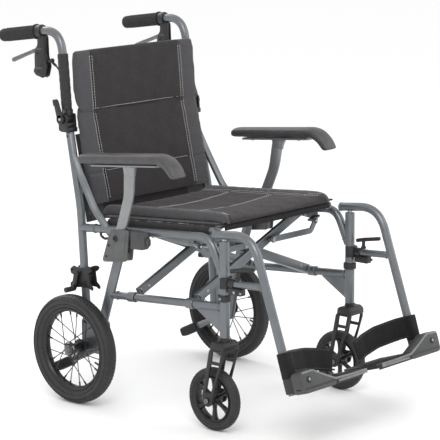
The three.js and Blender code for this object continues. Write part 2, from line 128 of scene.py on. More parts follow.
def skin(loops, wrap=False):
    """Joins loops of points, each with the same count, into a closed surface."""
    bm = bmesh.new()
    rows = [[bm.verts.new(p) for p in loop] for loop in loops]
    pairs = list(zip(rows, rows[1:])) + ([(rows[-1], rows[0])] if wrap else [])
    for low, high in pairs:
        count = max(len(low), len(high))
        for k in range(count):
            j = (k + 1) % count
            corners = [low[k % len(low)], low[j % len(low)], high[j % len(high)], high[k % len(high)]]
            bm.faces.new(list(dict.fromkeys(corners)))
    for row in () if wrap else (rows[0], rows[-1]):
        if len(row) > 2:
            bm.faces.new(row)
    return bm


def sweep(route, outline, across=None, ease=1.0, scale=None):
    """An outline of (u, v) carried along a route. u lies along `across`. The ends are eased round."""
    points = [Vector(p) for p in route]
    if across is None:
        across = X if abs((points[-1] - points[0]).normalized().x) < 0.7 else Y
    half = min(max(abs(u) for u, v in outline), max(abs(v) for u, v in outline))
    stations = []
    for i, p in enumerate(points):
        ahead = (points[min(i + 1, len(points) - 1)] - points[max(i - 1, 0)]).normalized()
        size = scale(i / (len(points) - 1)) if scale else 1
        stations.append((p, ahead, size))
    if ease:
        def eased(station, inward):
            p, ahead, size = station
            turns = [math.pi / 2 * k / 3 for k in range(4)]
            return [(p + inward * ahead * ease * (1 - math.sin(a)), ahead,
                     size * (1 - ease / half * (1 - math.cos(a)))) for a in turns]
        stations = eased(stations[0], 1)[::-1] + stations[1:-1] + eased(stations[-1], -1)
    loops = []
    for p, ahead, size in stations:
        side = (across - ahead * across.dot(ahead)).normalized()
        over = ahead.cross(side)
        loops.append([p + side * u * size + over * v * size for u, v in outline])
    return skin(loops)


def tube(corners, radius, bend=0, other=None, sides=24, **rest):
    return sweep(rounded(corners, bend), circle(radius, sides, other), **rest)


def turned(profile, centre=(0, 0, 0), axis=X, sides=48, wrap=False, wave=None):
    """A turned form: (radius, along) pairs about an axis. wave(k) is added to its outer radii."""
    start = Y if abs(axis.dot(Y)) < 0.9 else Z
    side = (start - axis * start.dot(axis)).normalized()
    over = axis.cross(side)
    loops = []
    for radius, along, *grow in profile:
        loop = []
        for k in range(sides if radius > 0 else 1):
            a = 2 * math.pi * k / sides
            reach = radius + (grow[0] * wave(k) if wave and grow else 0)
            loop.append(Vector(centre) + axis * along + (side * math.cos(a) + over * math.sin(a)) * reach)
        loops.append(loop)
    return skin(loops, wrap)


def soften(bm, width, segments=2):
    """Bevels the sharp edges."""
    bmesh.ops.recalc_face_normals(bm, faces=bm.faces)
    edges = [e for e in bm.edges if len(e.link_faces) == 2 and e.calc_face_angle() > 0.5]
    bmesh.ops.bevel(bm, geom=edges, offset=width, segments=segments, profile=0.5, affect="EDGES",
                    clamp_overlap=True)
    return bm


def slab(outline, low, high, axis="x", bevel=1.0, round_by=0, holes=()):
    """A flat plate: an outline in the two other axes (in x, y, z order), between low and high on `axis`."""
    def place(u, v, w):
        return {"x": (w, u, v), "y": (u, w, v), "z": (u, v, w)}[axis]
    def corners(points):
        if not round_by:
            return [(p[0], p[1]) for p in points]
        ring = [Vector((p[0], p[1], 0)) for p in points]
        start = (ring[0] + ring[-1]) / 2
        return [(p.x, p.y) for p in rounded([start, *ring, start], round_by, 0.35)[:-1]]
    bm = bmesh.new()
    edges = []
    for loop in [corners(outline), *holes]:
        verts = [bm.verts.new(place(u, v, low)) for u, v in loop]
        edges += [bm.edges.new((a, b)) for a, b in zip(verts, verts[1:] + verts[:1])]
    if holes:
        bmesh.ops.triangle_fill(bm, edges=edges, use_beauty=True)
    else:
        bm.faces.new(verts)
    grown = bmesh.ops.extrude_face_region(bm, geom=bm.faces[:])
    moved = [g for g in grown["geom"] if isinstance(g, bmesh.types.BMVert)]
    bmesh.ops.translate(bm, verts=moved, vec=place(0, 0, high - low))
    return soften(bm, bevel) if bevel else bm


def block(low, high, bevel=1.5):
    (x0, y0, z0), (x1, y1, z1) = low, high
    return slab([(x0, y0), (x1, y0), (x1, y1), (x0, y1)], z0, z1, "z", bevel)


def ring_about(at, axis, radius, length, bore=0, sides=32, edge=0.8):
    """A cylinder or sleeve with eased edges, centred at a point."""
    h = length / 2
    outer = [(radius - edge, -h), (radius, -h + edge), (radius, h - edge), (radius - edge, h)]
    if bore:
        return turned([(bore, -h), *outer, (bore, h)], at, axis, sides, wrap=True)
    return turned([(0, -h), *outer, (0, h)], at, axis, sides)


def screw(at, axis, radius, height=3.0):
    """A domed screw head with a round socket."""
    profile = [(0, -1), (radius, -1), (radius, height * 0.35), (radius * 0.86, height * 0.8),
               (radius * 0.5, height), (radius * 0.42, height * 0.35), (0, height * 0.35)]
    return turned(profile, at, axis, 18)


def nut(at, axis, radius, height):
    head = turned([(0, 0), (radius * 0.9, 0), (radius, height * 0.15), (radius, height * 0.8),
                   (radius * 0.88, height), (0, height)], at, axis, 6)
    return head


# ---- pieces ----
class Piece:
    """One object made of several shapes, each with its own material, in millimetres until placed."""

    def __init__(self, name, side=1):
        self.name, self.side = name, side
        self.points, self.faces, self.indices = [], [], []
        self.materials = []

    def add(self, finish, *shapes, at=None):
        if finish not in self.materials:
            self.materials.append(finish)
        for shape in shapes:
            bmesh.ops.recalc_face_normals(shape, faces=shape.faces)
            if at:
                shape.transform(at)
            first = len(self.points)
            shape.verts.index_update()
            self.points += [vert.co.copy() for vert in shape.verts]
            order = 1 if self.side > 0 else -1
            self.faces += [[first + vert.index for vert in face.verts][::order] for face in shape.faces]
            self.indices += [self.materials.index(finish)] * len(shape.faces)
            shape.free()
        return self

    def place(self, body, slot, *nodes, crease=0.6):
        """Makes the object, in metres, riding on a body and standing for CAD nodes."""
        mesh = bpy.data.meshes.new(self.name)
        mesh.from_pydata([metres((p.x * self.side, p.y, p.z)) for p in self.points], [], self.faces)
        mesh.polygons.foreach_set("material_index", self.indices)
        bm = bmesh.new()
        bm.from_mesh(mesh)
        for face in bm.faces:
            face.smooth = True
        for edge in bm.edges:
            edge.smooth = len(edge.link_faces) == 2 and edge.calc_face_angle() < crease
        bm.to_mesh(mesh)
        bm.free()
        for finish in self.materials:
            mesh.materials.append(FINISH[finish])
        made = bpy.data.objects.new(self.name, mesh)
        bpy.context.scene.collection.objects.link(made)
        if body:
            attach(made, body)
        if nodes:
            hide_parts(*nodes)
        return made


# ---- materials ----
class Shader:
    """A Principled material with helpers for its nodes. Coordinates are the object's own, in metres."""

    def __init__(self, name, colour, roughness, metallic=0.0, **sockets):
        self.material = bpy.data.materials.new(name)
        self.material.use_nodes = True
        self.nodes = self.material.node_tree.nodes
        self.links = self.material.node_tree.links
        self.principled = self.nodes["Principled BSDF"]
        self.colour, self.roughness = colour, roughness
        self.principled.inputs["Base Color"].default_value = (*colour, 1)
        self.principled.inputs["Roughness"].default_value = roughness
        self.principled.inputs["Metallic"].default_value = metallic
        for socket, value in sockets.items():
            self.principled.inputs[socket.replace("_", " ")].default_value = value
        self.place = self.nodes.new("ShaderNodeTexCoord").outputs["Object"]

    def node(self, kind, **values):
        node = self.nodes.new("ShaderNode" + kind)
        for key, value in values.items():
            if key in node.inputs:
                node.inputs[key].default_value = value
            else:
                setattr(node, key, value)
        return node

    def noise(self, size, detail=3.0, stretch=None):
        """Noise whose features are about `size` metres across."""
        source = self.place
        if stretch:
            mapping = self.node("Mapping")
            mapping.inputs["Scale"].default_value = stretch
            self.links.new(source, mapping.inputs["Vector"])
            source = mapping.outputs["Vector"]
        noise = self.node("TexNoise", Scale=1 / size, Detail=detail)
        self.links.new(source, noise.inputs["Vector"])
        return noise.outputs["Fac"]

    def ramp(self, factor, low, high, start=0.3, end=0.7):
        """Maps a factor onto values between low and high."""
        remap = self.node("MapRange")
        for key, value in (("From Min", start), ("From Max", end), ("To Min", low), ("To Max", high)):
            remap.inputs[key].default_value = value
        self.links.new(factor, remap.inputs["Value"])
        return remap.outputs["Result"]

    def tint(self, factor, low, high, start=0.3, end=0.7):
        """Varies the base colour between two multiples of it."""
        mix = self.nodes.new("ShaderNodeMix")
        mix.data_type = "RGBA"
        for socket in mix.inputs:
            if socket.type == "RGBA" and socket.name in "AB":
                scale = low if socket.name == "A" else high
                socket.default_value = (*[c * scale for c in self.colour], 1)
        self.links.new(self.ramp(factor, 0, 1, start, end), mix.inputs["Factor"])
        colour = [o for o in mix.outputs if o.type == "RGBA"][0]
        self.links.new(colour, self.principled.inputs["Base Color"])
        return self

    def rough(self, factor, low, high):
        self.links.new(self.ramp(factor, low, high), self.principled.inputs["Roughness"])
        return self

    def bump(self, *layers):
        """Each layer is (height, depth in metres)."""
        normal = None
        for height, depth in layers:
            bump = self.node("Bump", Strength=0.6, Distance=depth)
            self.links.new(height, bump.inputs["Height"])
            if normal:
                self.links.new(normal, bump.inputs["Normal"])
            normal = bump.outputs["Normal"]
        self.links.new(normal, self.principled.inputs["Normal"])
        return self

    def wave(self, size, direction, distortion=0.0):
        wave = self.node("TexWave", Scale=1 / (size * 3.2), Distortion=distortion, bands_direction=direction)
        self.links.new(self.place, wave.inputs["Vector"])
        return wave.outputs["Fac"]

    def weave(self, size):
        """A plain weave that shows on any face: waves along the three axes."""
        total = None
        for direction in "XYZ":
            wave = self.wave(size, direction)
            if total is None:
                total = wave
                continue
            add = self.node("Math", operation="ADD")
            self.links.new(total, add.inputs[0])
            self.links.new(wave, add.inputs[1])
            total = add.outputs[0]
        return total


def paint(name, shade, roughness):
    made = Shader(name, shade, roughness, 0.6, Coat_Weight=0.3, Coat_Roughness=0.25)
    made.tint(made.noise(0.03), 0.93, 1.06).rough(made.noise(0.012), roughness - 0.05, roughness + 0.07)
    return made.bump((made.noise(0.0009, 2), 0.00003)).material


def plastic(name, shade, roughness, grain=0.0007, depth=0.00006):
    made = Shader(name, shade, roughness, 0, Specular_IOR_Level=0.45)
    made.tint(made.noise(0.02), 0.85, 1.18).rough(made.noise(0.008), roughness - 0.06, roughness + 0.08)
    return made.bump((made.noise(grain, 2), depth)).material


def rubber(name, shade, roughness=0.78):
    made = Shader(name, shade, roughness, 0, Specular_IOR_Level=0.35)
    made.tint(made.noise(0.012, 5), 0.86, 1.18).rough(made.noise(0.006), roughness - 0.06, roughness + 0.08)
    return made.bump((made.noise(0.002, 4), 0.00012)).material


def cloth(name, shade, thread=0.0011, depth=0.00022, sheen=0.25):
    made = Shader(name, shade, 0.9, 0, Sheen_Weight=sheen, Sheen_Roughness=0.45, Specular_IOR_Level=0.2)
    made.tint(made.noise(0.0022, 4), 0.72, 1.32).rough(made.noise(0.01), 0.82, 0.96)
    return made.bump((made.weave(thread), depth), (made.noise(0.05, 3), 0.0012)).material


def metal(name, shade, roughness, stretch=(1, 1, 1)):
    made = Shader(name, shade, roughness, 0.95)
    made.tint(made.noise(0.008), 0.85, 1.1)
    made.rough(made.noise(0.002, 3, stretch), roughness - 0.08, roughness + 0.1)
    return made.bump((made.noise(0.0012, 3, stretch), 0.00002)).material


FINISH = {
    "frame": paint("frame paint", (0.142, 0.153, 0.163), 0.34),
    "arm": paint("armrest paint", (0.24, 0.248, 0.255), 0.4),
    "black": plastic("black plastic", (0.013, 0.013, 0.0135), 0.42),
    "dark_plastic": plastic("dark plastic", (0.045, 0.046, 0.047), 0.5),
    "grey_plastic": plastic("grey plastic", (0.078, 0.079, 0.08), 0.5),
    # Painted highlight: a light grey that stands in for the light caught by the black footplate's front edge.
    "edge_highlight_plastic": plastic("edge plastic with painted highlight", (0.15, 0.15, 0.153), 0.45),
    "gloss": plastic("satin black", (0.0095, 0.0095, 0.010), 0.3, depth=0.00002),
    "pad": plastic("pad skin", (0.055, 0.054, 0.057), 0.44, 0.0005, 0.00008),
    "rubber": rubber("grip rubber", (0.024, 0.024, 0.026)),
    "tyre": rubber("tyre rubber", (0.024, 0.024, 0.0255), 0.52),
    "cloth": cloth("upholstery", (0.029, 0.0255, 0.0265), sheen=0.12),
    "bolster": cloth("bolster cloth", (0.056, 0.054, 0.058), 0.0008, 0.00012, 0.25),
    "sleeve": cloth("sleeve cloth", (0.034, 0.034, 0.035), 0.0009, 0.00012, 0.12),
    "lining": cloth("lining", (0.018, 0.018, 0.019)),
    "webbing": cloth("webbing", (0.013, 0.0125, 0.013), 0.0016, 0.0003, 0.06),
    "thread": cloth("thread", (0.42, 0.41, 0.4), 0.0004, 0.00006, 0.1),
    "steel": metal("zinc steel", (0.42, 0.42, 0.43), 0.36),
    "alloy": metal("lever alloy", (0.17, 0.17, 0.175), 0.36, (1, 6, 1)),
}


def weld(at, axis, radius):
    """A thin lumpy bead round a tube where it meets another."""
    profile = [(radius - 1, -2.4), (radius + 0.9, -1.8, 1), (radius + 1.7, 0, 1), (radius + 0.9, 1.8, 1),
               (radius - 1, 2.4)]
    return turned(profile, at, axis, 36, wrap=True, wave=lambda k: 0.35 * math.sin(k * 2.1))


# ---- side frames ----
POST = [(243, 3, 160), (242, 22, 500), (233.5, 67, 703)]
STRUT = [(238, 52, 640), (240, 24, 590), (243, -30, 503), (245, -90, 447)]


def fluted(radius, count=10, depth=0.55, sides=60):
    """A round outline with shallow lengthwise grooves."""
    turns = [2 * math.pi * k / sides for k in range(sides)]
    reach = [radius - depth * max(0, math.cos(count * a)) ** 3 for a in turns]
    return [(r * math.cos(a), r * math.sin(a)) for r, a in zip(reach, turns)]


def side_frame(name, side):
    piece = Piece("side_frame_tubes_" + name, side)
    low_end = LOW_RAIL_Z - POST_Y * math.tan(RAIL_PITCH)
    low_start = LOW_RAIL_Z + 90 * math.tan(RAIL_PITCH)
    upper = [(FRAME_X, 19, rail_z(19)), (FRAME_X, -432, rail_z(-432)), (FRAME_X, -472, 396)]
    piece.add(
        "frame",
        tube(POST, 11, 300),
        sweep(rounded(STRUT, 120), fluted(9.5)),
        tube(upper, 11, 50),
        ring_about((FRAME_X, POST_Y, 359), Z, 12.5, 241, bore=6.9, edge=1.2),
        tube([(FRAME_X, -90, low_start), (FRAME_X, POST_Y, low_end)], 10),
        tube([(245, -133, 436), (246, -36, 154)], 8.5, other=15, sides=36),
        tube([(FRAME_X, -10, 128), (FRAME_X, 20, 112), (FRAME_X, 78, 84)], 9, 20),
        slab([(-60, 125), (12, 125), (17, 150), (17, 215), (-44, 222), (-78, 215)], 238, 254, round_by=16,
             bevel=2),
        slab([(-376, 303), (-474, 312), (-484, 252), (-468, 248)], 240, 246, round_by=6),
    )
    top = rail_z(-280)
    along = Vector((0, math.cos(RAIL_PITCH), -math.sin(RAIL_PITCH)))
    piece.add("frame", slab([(-205, top - 10), (-345, top - 22), (-372, top - 20), (-372, top + 2)], 236,
                            241, round_by=4))
    piece.add("frame", sweep([(FRAME_X, STAY_V + 10, 150), (STAY_PIN[0] - 7, STAY_V + 10, STAY_PIN[1])],
                             squircle(3, 11, 6), across=Z, ease=0.6), at=RAILS)
    piece.add("steel", ring_about((STAY_PIN[0], STAY_V + 3.5, STAY_PIN[1]), Y, 4, 17), at=RAILS)
    piece.add(
        "frame",
        weld((FRAME_X, -34, rail_z(-34)), along, 11),
        weld((FRAME_X, -462, LOW_RAIL_Z + 462 * math.tan(RAIL_PITCH)), along, 10),
        weld((FRAME_X, -110, LOW_RAIL_Z + 110 * math.tan(RAIL_PITCH)), along, 10),
        weld((FRAME_X, -466, 411), Vector((0, 0.55, 0.83)).normalized(), 11),
        weld((239, 43, 615), Vector((0, 0.55, 0.83)).normalized(), 9.5),
    )
    for y, z in ((-230, top - 13), (-335, top - 14)):
        piece.add("steel", screw((236, y, z), -X, 5))
    for y, z in ((-40, 210), (4, 205), (-56, 150)):
        piece.add("black", screw((254, y, z), X, 4.2, 2.2))
    for y, z in ((63.5, 684), (66, 697)):
        piece.add("black", screw((244.6, y, z), X, 3.2, 2.2))
    clip = [(246, -56, 452), (251, -58, 441), (252, -74, 434), (251, -92, 438), (246, -100, 450)]
    piece.add("black", tube(clip, 3.4, 14))
    piece.place("frame_" + name, "frame_paint", "side_frame_" + name)


def tipping_pedal(name, side):
    piece = Piece("tipping_pedal_pad_" + name, side)
    slope = Vector((0, 58, -28)).normalized()
    start = Vector((FRAME_X, 64, 90.5))
    piece.add("rubber", sweep([start, start + slope * 64], squircle(16, 12.5, 4, 40), across=X, ease=4))
    for k in range(5):
        at = start + slope * (12 + 10 * k)
        piece.add("rubber", sweep([at, at + slope * 5], squircle(16.6, 13.2, 4, 40), across=X, ease=1))
    piece.place("frame_" + name, "grip_rubber", "tipping_pedal_" + name)


# ---- back canes, their fold and the attendant's brakes ----
def back_hinge(name, side):
    piece = Piece("back_fold_block_" + name, side)
    x, y, z = BACK_HINGE
    cheek = [(y - 20, z - 32), (y + 12, z - 32), (y + 13, z + 8), (y + 5, z + 13), (y - 17, z + 13)]
    piece.add(
        "black",
        slab(cheek, 216, 221.5, round_by=5, bevel=1.2),
        slab(cheek, 245.5, 251, round_by=5, bevel=1.2),
        block((216.5, y - 23.5, z - 34), (250.5, y + 7, z - 21), 2.5),
    )
    piece.add("steel", ring_about((237, y, z), X, 4, 46), screw((214.5, y, z), -X, 5.5, 3))
    piece.place("frame_" + name, "black_plastic", "back_hinge_" + name)
    lever = Piece("back_fold_lever_" + name, side)
    arm = [(y - 9, z + 4), (y + 9, z - 4), (y + 23, z + 46), (y + 16, z + 52), (y + 8, z + 48)]
    lever.add(
        "black",
        slab(arm, 252.4, 259, round_by=7, bevel=1.5),
        ring_about((255.5, y, z - 1), X, 12, 7, bore=4.4),
        sweep([(256, y + 15, z + 34), (256, y + 18.5, z + 50)], squircle(4.6, 7, 4), across=X, ease=1.5),
    )
    lever.place("back_lever_" + name, "black_plastic", "back_lever_" + name)


CANE = [(233.5, 74, 742), (229, 96, 957), (228, 316, 928)]


def cane(name, side):
    piece = Piece("back_cane_" + name, side)
    x, y, z = BACK_HINGE
    piece.add("frame", tube(CANE, 11, 62))
    piece.add(
        "black",
        ring_about((x, y, z), X, 13, 21.6, bore=4.5),
        block((223.4, y - 16, z + 5), (243.6, y + 8.5, z + 26), 3),
        ring_about((233, 76, 758), Vector((-0.02, 0.1, 1)).normalized(), 13.4, 12, bore=11.1),
    )
    piece.place("cane_" + name, "frame_paint", "cane_" + name)


def grip(name, side):
    piece = Piece("hand_grip_" + name, side)
    start, end = Vector((228.4, 184, 945.3)), Vector((228, 321, 927.3))
    axis = (end - start).normalized()
    length = (end - start).length
    profile = [(0, length - 6), (11.4, length - 6), (11.4, 0), (19.4, 0), (20, 1.2), (20, 4.5), (18.4, 6),
               (16.4, 8)]
    along = 10.0
    while along < length - 18:
        profile += [(16.4, along), (17, along + 0.8), (17, along + 3.4), (16.4, along + 4.2)]
        along += 5.6
    profile += [(17, length - 15), (17.2, length - 9), (16.2, length - 4), (13, length - 1), (8, length),
                (0, length)]
    piece.add("rubber", turned(profile, start, axis, 40))
    for turn in range(12):
        a = 2 * math.pi * turn / 12
        side_way = (X * math.cos(a) + axis.cross(X).normalized() * math.sin(a)) * 16.7
        piece.add("rubber", sweep([start + axis * 12 + side_way, start + axis * (length - 20) + side_way],
                                  circle(1.1, 8), ease=0))
    piece.place("cane_" + name, "grip_rubber", "push_grip_" + name)


def brake_handle(name, side):
    piece = Piece("brake_handle_body_" + name, side)
    x = 228.5
    body = [(152, 938), (178, 938), (178, 912), (187, 900), (190, 884), (190, 852), (196, 842),
            (186, 832), (160, 826), (150, 832), (142, 858), (150, 884)]
    piece.add(
        "black",
        ring_about((x, 172.5, 947), Vector((0, 19, -2.5)).normalized(), 17, 19, bore=11.5, edge=2),
        slab(body, x - 9, x - 4.6, round_by=9, bevel=1.8),
        slab(body, x + 4.6, x + 9, round_by=9, bevel=1.8),
        slab([(154, 936), (174, 936), (172, 900), (184, 880), (184, 850), (162, 842), (146, 860), (154, 892)],
             x - 4.8, x + 4.8, round_by=6, bevel=0.8),
        ring_about((x, 136, 872), Vector((0, -1, 0.15)).normalized(), 5, 18, sides=20),
        ring_about((x, 131, 873), Vector((0, -1, 0.15)).normalized(), 6.4, 5, sides=10, edge=0.5),
        block((x - 6, 154, 928), (x + 6, 176, 936), 2),
    )
    for y, z in ((178, 890), (162, 860), (178, 842)):
        piece.add("black", screw((x + 8.8, y, z), X, 3.4, 1.6), screw((x - 8.8, y, z), -X, 3.4, 1.6))
    for height in (900, 850):
        piece.add("grey_plastic", block((x - 9.6, 160, height), (x + 9.6, 186, height + 3.4), 1))
    piece.place("cane_" + name, "black_plastic", "brake_housing_" + name)
    lever = Piece("brake_lever_blade_" + name, side)
    route = rounded([(x, 176, 900), (x, 205, 892), (x, 245, 878), (x, 276, 867)], 60, 0.03)
    lever.add("alloy", sweep(route, squircle(4.6, 6.2, 2.6, 24), across=X, ease=0,
                             scale=lambda t: 1 - 0.18 * math.sin(math.pi * t)))
    lever.add("alloy", turned([(0, -6), (4.6, -4.5), (6.2, -1), (6.2, 2), (4.2, 5.5), (0, 6.6)],
                              (x, 277, 866.4), Vector((0, 0.94, -0.34)).normalized(), 20))
    lever.place("brake_lever_" + name, "lever_alloy", "brake_lever_" + name)


CABLE = [
    (224, 136, 868), (219, 122, 856), (213, 108, 830), (210, 100, 780), (209.5, 99, 728), (211, 92, 670),
    (216, 76, 590), (220, 58, 520), (222, 48, 460), (224, 42, 410), (226, 38, 372),
]


def brake_cable(name, side):
    piece = Piece("brake_cable_housing_" + name, side)
    piece.add("gloss", tube(CABLE, 2.5, 60, sides=12))
    for low, high in ((CABLE[0], CABLE[1]), (CABLE[-1], CABLE[-2])):
        way = (Vector(high) - Vector(low)).normalized()
        piece.add("black", ring_about(Vector(low) + way * 7, way, 3.5, 14, bore=2.5, sides=16))
    made = piece.place(None, "black_plastic", "brake_cable_" + name)
    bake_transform(made)


def brake_caliper(name, side):
    piece = Piece("brake_mechanism_" + name, side)
    body = [(-18, 296), (-30, 290), (-33, 300), (-20, 310), (-16, 336), (-28, 343), (-26, 354),
            (-12, 352), (4, 346), (24, 346), (38, 350), (52, 340), (50, 328), (38, 324), (38, 312),
            (52, 302), (52, 290), (38, 291), (10, 296)]
    hood = [(-8, 300), (-11, 334), (14, 342), (34, 338), (34, 308), (18, 300)]
    piece.add(
        "black",
        slab(body, 229, 231.6, round_by=5, bevel=0.8),
        slab(body, 254.2, 257.2, round_by=5, bevel=1),
        slab(hood, 231, 255, round_by=10, bevel=3),
        ring_about((227.1, 35.8, 352), Vector((-0.05, 0.1, 1)).normalized(), 4.6, 30, sides=20),
        ring_about((226.4, 37.2, 365), Vector((-0.05, 0.1, 1)).normalized(), 6.4, 6, sides=8, edge=0.5),
    )
    for y, z, r in ((20, 335, 6), (-4, 312, 4.5), (45, 338, 3.4), (45, 297, 3.4), (-25, 348, 3.4)):
        piece.add("black", screw((257, y, z), X, r, 2.2), screw((229, y, z), -X, r, 2.2))
    piece.place("frame_" + name, "black_plastic", "brake_caliper_" + name)
    shoe = Piece("brake_rod_" + name, side)
    ridges = [(0, -16.4), (6.4, -16.4), (7, -15.4)]
    for k in range(6):
        ridges += [(7, -14 + 4.8 * k), (6.2, -13.2 + 4.8 * k), (6.2, -11.8 + 4.8 * k), (7, -11 + 4.8 * k)]
    shoe.add("gloss", slab([(12, 338), (28, 338), (40, 290), (26, 286)], 260, 266, round_by=6, bevel=0.8),
             turned([*ridges, (7, 15.6), (6, 16.4), (0, 16.4)], (277.3, 32, 291), X, 28))
    shoe.place("brake_shoe_" + name, "steel", "brake_shoe_" + name)


# ---- armrests ----
def arm_socket(name, side):
    piece = Piece("armrest_socket_" + name, side)
    plate = [(-91, 381), (-124, 468), (-191, 475), (-180, 393)]
    piece.add(
        "grey_plastic",
        slab(plate, 257, 262, round_by=9, bevel=1.2),
        slab(plate, 277.3, 281.5, round_by=9, bevel=1.4),
        slab([(-150, 396), (-160, 462), (-182, 466), (-172, 402)], 281, 282.6, round_by=6, bevel=0.7),
        slab([(-95, 386), (-104, 412), (-178, 414), (-175, 396)], 261, 278, round_by=4),
        slab([(-180, 440), (-180, 472), (-194, 472), (-194, 440)], 257, 262, round_by=3),
        block((244, -178, 425), (257.4, -110, 440), 2),
    )
    latch = [(-192, 427), (-192, 473), (-232, 473), (-241, 463), (-241, 437), (-234, 429)]
    piece.add("dark_plastic", slab(latch, 257, 279, round_by=5, bevel=2),
              block((262, -250, 440), (274, -237, 458), 3))
    piece.add("steel", ring_about((270, *ARM_PIVOT), X, 4.4, 24))
    piece.add("black", screw((281.4, *ARM_PIVOT), X, 8, 3.6))
    for y, z in ((-118, 428), (-108, 398)):
        piece.add("black", screw((281.4, y, z), X, 3.4, 1.6))
    piece.place("frame_" + name, "black_plastic", "arm_socket_" + name)


def armrest(name, side):
    piece = Piece("armrest_frame_" + name, side)
    y, z = ARM_PIVOT
    route = rounded([(270, y + 10, z - 19), (270, -155, 476), (276, -189, 560), (282, -198, 636)], 160, 0.05)
    bar = [(286, -77 - 228 * k / 30, 629.7 + 20.6 * k / 30) for k in range(31)]
    piece.add(
        "arm",
        sweep(route, squircle(6.6, 16, 2.6, 40), across=X, ease=2, scale=lambda t: 1 + 0.2 * max(0, t - 0.5)),
        sweep([(281.5, -197, 616), (282, -198.5, 628), (284, -199, 640)], squircle(8.5, 19, 2.6, 40),
              across=X, ease=0, scale=lambda t: 0.96 + 0.26 * t * t),
        sweep(bar, squircle(14, 3.2, 4, 40), across=X, ease=0,
              scale=lambda t: 1 - 0.5 * max(0, abs(2 * t - 1) - 0.86) ** 1.2),
        ring_about((270, y, z), X, 14, 12, bore=4.9),
    )
    for v in (-104, -268):
        piece.add("black", screw((286, v, 626.6 - (v + 77) * 0.09), -Z, 4.5, 2))
    piece.place("arm_" + name, "arm_metal", "arm_post_" + name)


def arm_pad(name, side):
    """A moulded pad: round-shouldered, grooved along its sides, with a drooping nose."""
    piece = Piece("armrest_pad_" + name, side)
    under = [(-34.5, 630), (-316, 655), (-341, 644), (-361, 623), (-377, 628)]
    over = [(-38, 656), (-316, 682), (-343, 676), (-370, 655), (-380, 632)]
    low, high = rounded([(0, *p) for p in under], 50, 0.02), rounded([(0, *p) for p in over], 60, 0.02)

    def at(path, t):
        lengths = [0.0]
        for a, b in zip(path, path[1:]):
            lengths.append(lengths[-1] + (b - a).length)
        goal = t * lengths[-1]
        k = max(i for i in range(len(path) - 1) if lengths[i] <= goal + 1e-9)
        span = lengths[k + 1] - lengths[k]
        return path[k].lerp(path[k + 1], (goal - lengths[k]) / span if span else 0)

    def outline(width, height):
        """Half sizes of a cushion-shaped section, with a groove low on each side."""
        ring = []
        for u, v in squircle(width, height, 3.0, 56):
            groove = math.exp(-((v / height + 0.42) / 0.13) ** 2)
            crown = 1.2 * (1 - (u / width) ** 2) if v > 0 else 0
            ring.append((u * (1 - 0.06 * groove), v + crown))
        return ring
    loops = []
    count = 64
    for k in range(count + 1):
        t = 0.5 - 0.5 * math.cos(math.pi * k / count)
        a, b = at(low, t), at(high, t)
        middle, half = (a + b) / 2, (b - a) / 2
        end = min(1, math.sqrt(max(0.02, 1 - (abs(2 * t - 1)) ** 40)))
        width = 23.6 * (0.94 + 0.06 * math.sin(math.pi * t) ** 0.5) * (0.62 + 0.38 * end)
        loops.append([Vector((PAD_X + u, 0, 0)) + middle + half.normalized() * v * end
                      for u, v in outline(width, half.length * 0.97)])
    piece.add("pad", skin(loops))
    made = piece.place("arm_" + name, "pad_foam", "arm_pad_" + name, crease=1.2)


# ---- wheels ----
def tyre(name, side, body, slot_node, centre, radius, width, depth, blocks, base):
    """A tyre with moulded side rings and tread blocks across its shoulders."""
    piece = Piece(base + "_tread_" + name, side)
    h, inner = width / 2, radius - depth
    half = [(inner, 0.60), (inner + 0.05 * depth, 0.70), (inner + 0.2 * depth, 0.83),
            (radius - 0.62 * depth, 0.96), (radius - 0.5 * depth, 0.985), (radius - 0.36 * depth, 0.95),
            (radius - 0.28 * depth, 0.87), (radius - 0.2 * depth, 0.84), (radius - 0.1 * depth, 0.68),
            (radius - 0.04 * depth, 0.42), (radius - 0.02 * depth, 0.12)]
    profile = [(r, -w * h) for r, w in half] + [(r, w * h) for r, w in reversed(half)]
    piece.add("tyre", turned(profile, centre, X, 96, wrap=True))
    for s in (-1, 1):
        for r in (0.3, 0.72):
            piece.add("tyre", turned([(inner + r * depth - 0.9, s * h * 0.86),
                                      (inner + r * depth, s * h * (0.99 if r < 0.5 else 0.985)),
                                      (inner + r * depth + 0.9, s * h * 0.86)], centre, X, 96, wrap=True))
    place = Vector(centre)
    for k in range(blocks):
        for s in (-1, 1):
            a = 2 * math.pi * (k + (0.25 if s > 0 else 0.75)) / blocks
            out = Vector((0, math.cos(a), math.sin(a)))
            way = Vector((0, -math.sin(a), math.cos(a)))
            wide = math.pi * radius / blocks * 0.55
            def corner(u, r, w):
                return place + out * r + way * (u * wide + abs(w) * 0.18) + X * w * s
            shoulder = [(radius - 0.42 * depth, 0.93), (radius - 0.2 * depth, 0.86),
                        (radius - 0.07 * depth, 0.66), (radius - 0.005 * depth, 0.38), (radius, 0.1)]
            loops = []
            for r, w in shoulder:
                lift = 0.09 * depth
                loops.append([corner(-1, r - lift, w * h), corner(1, r - lift, w * h),
                              corner(0.86, r, w * h), corner(-0.86, r, w * h)])
            piece.add("tyre", skin(loops))
    piece.place(body, "tyre_rubber", slot_node)


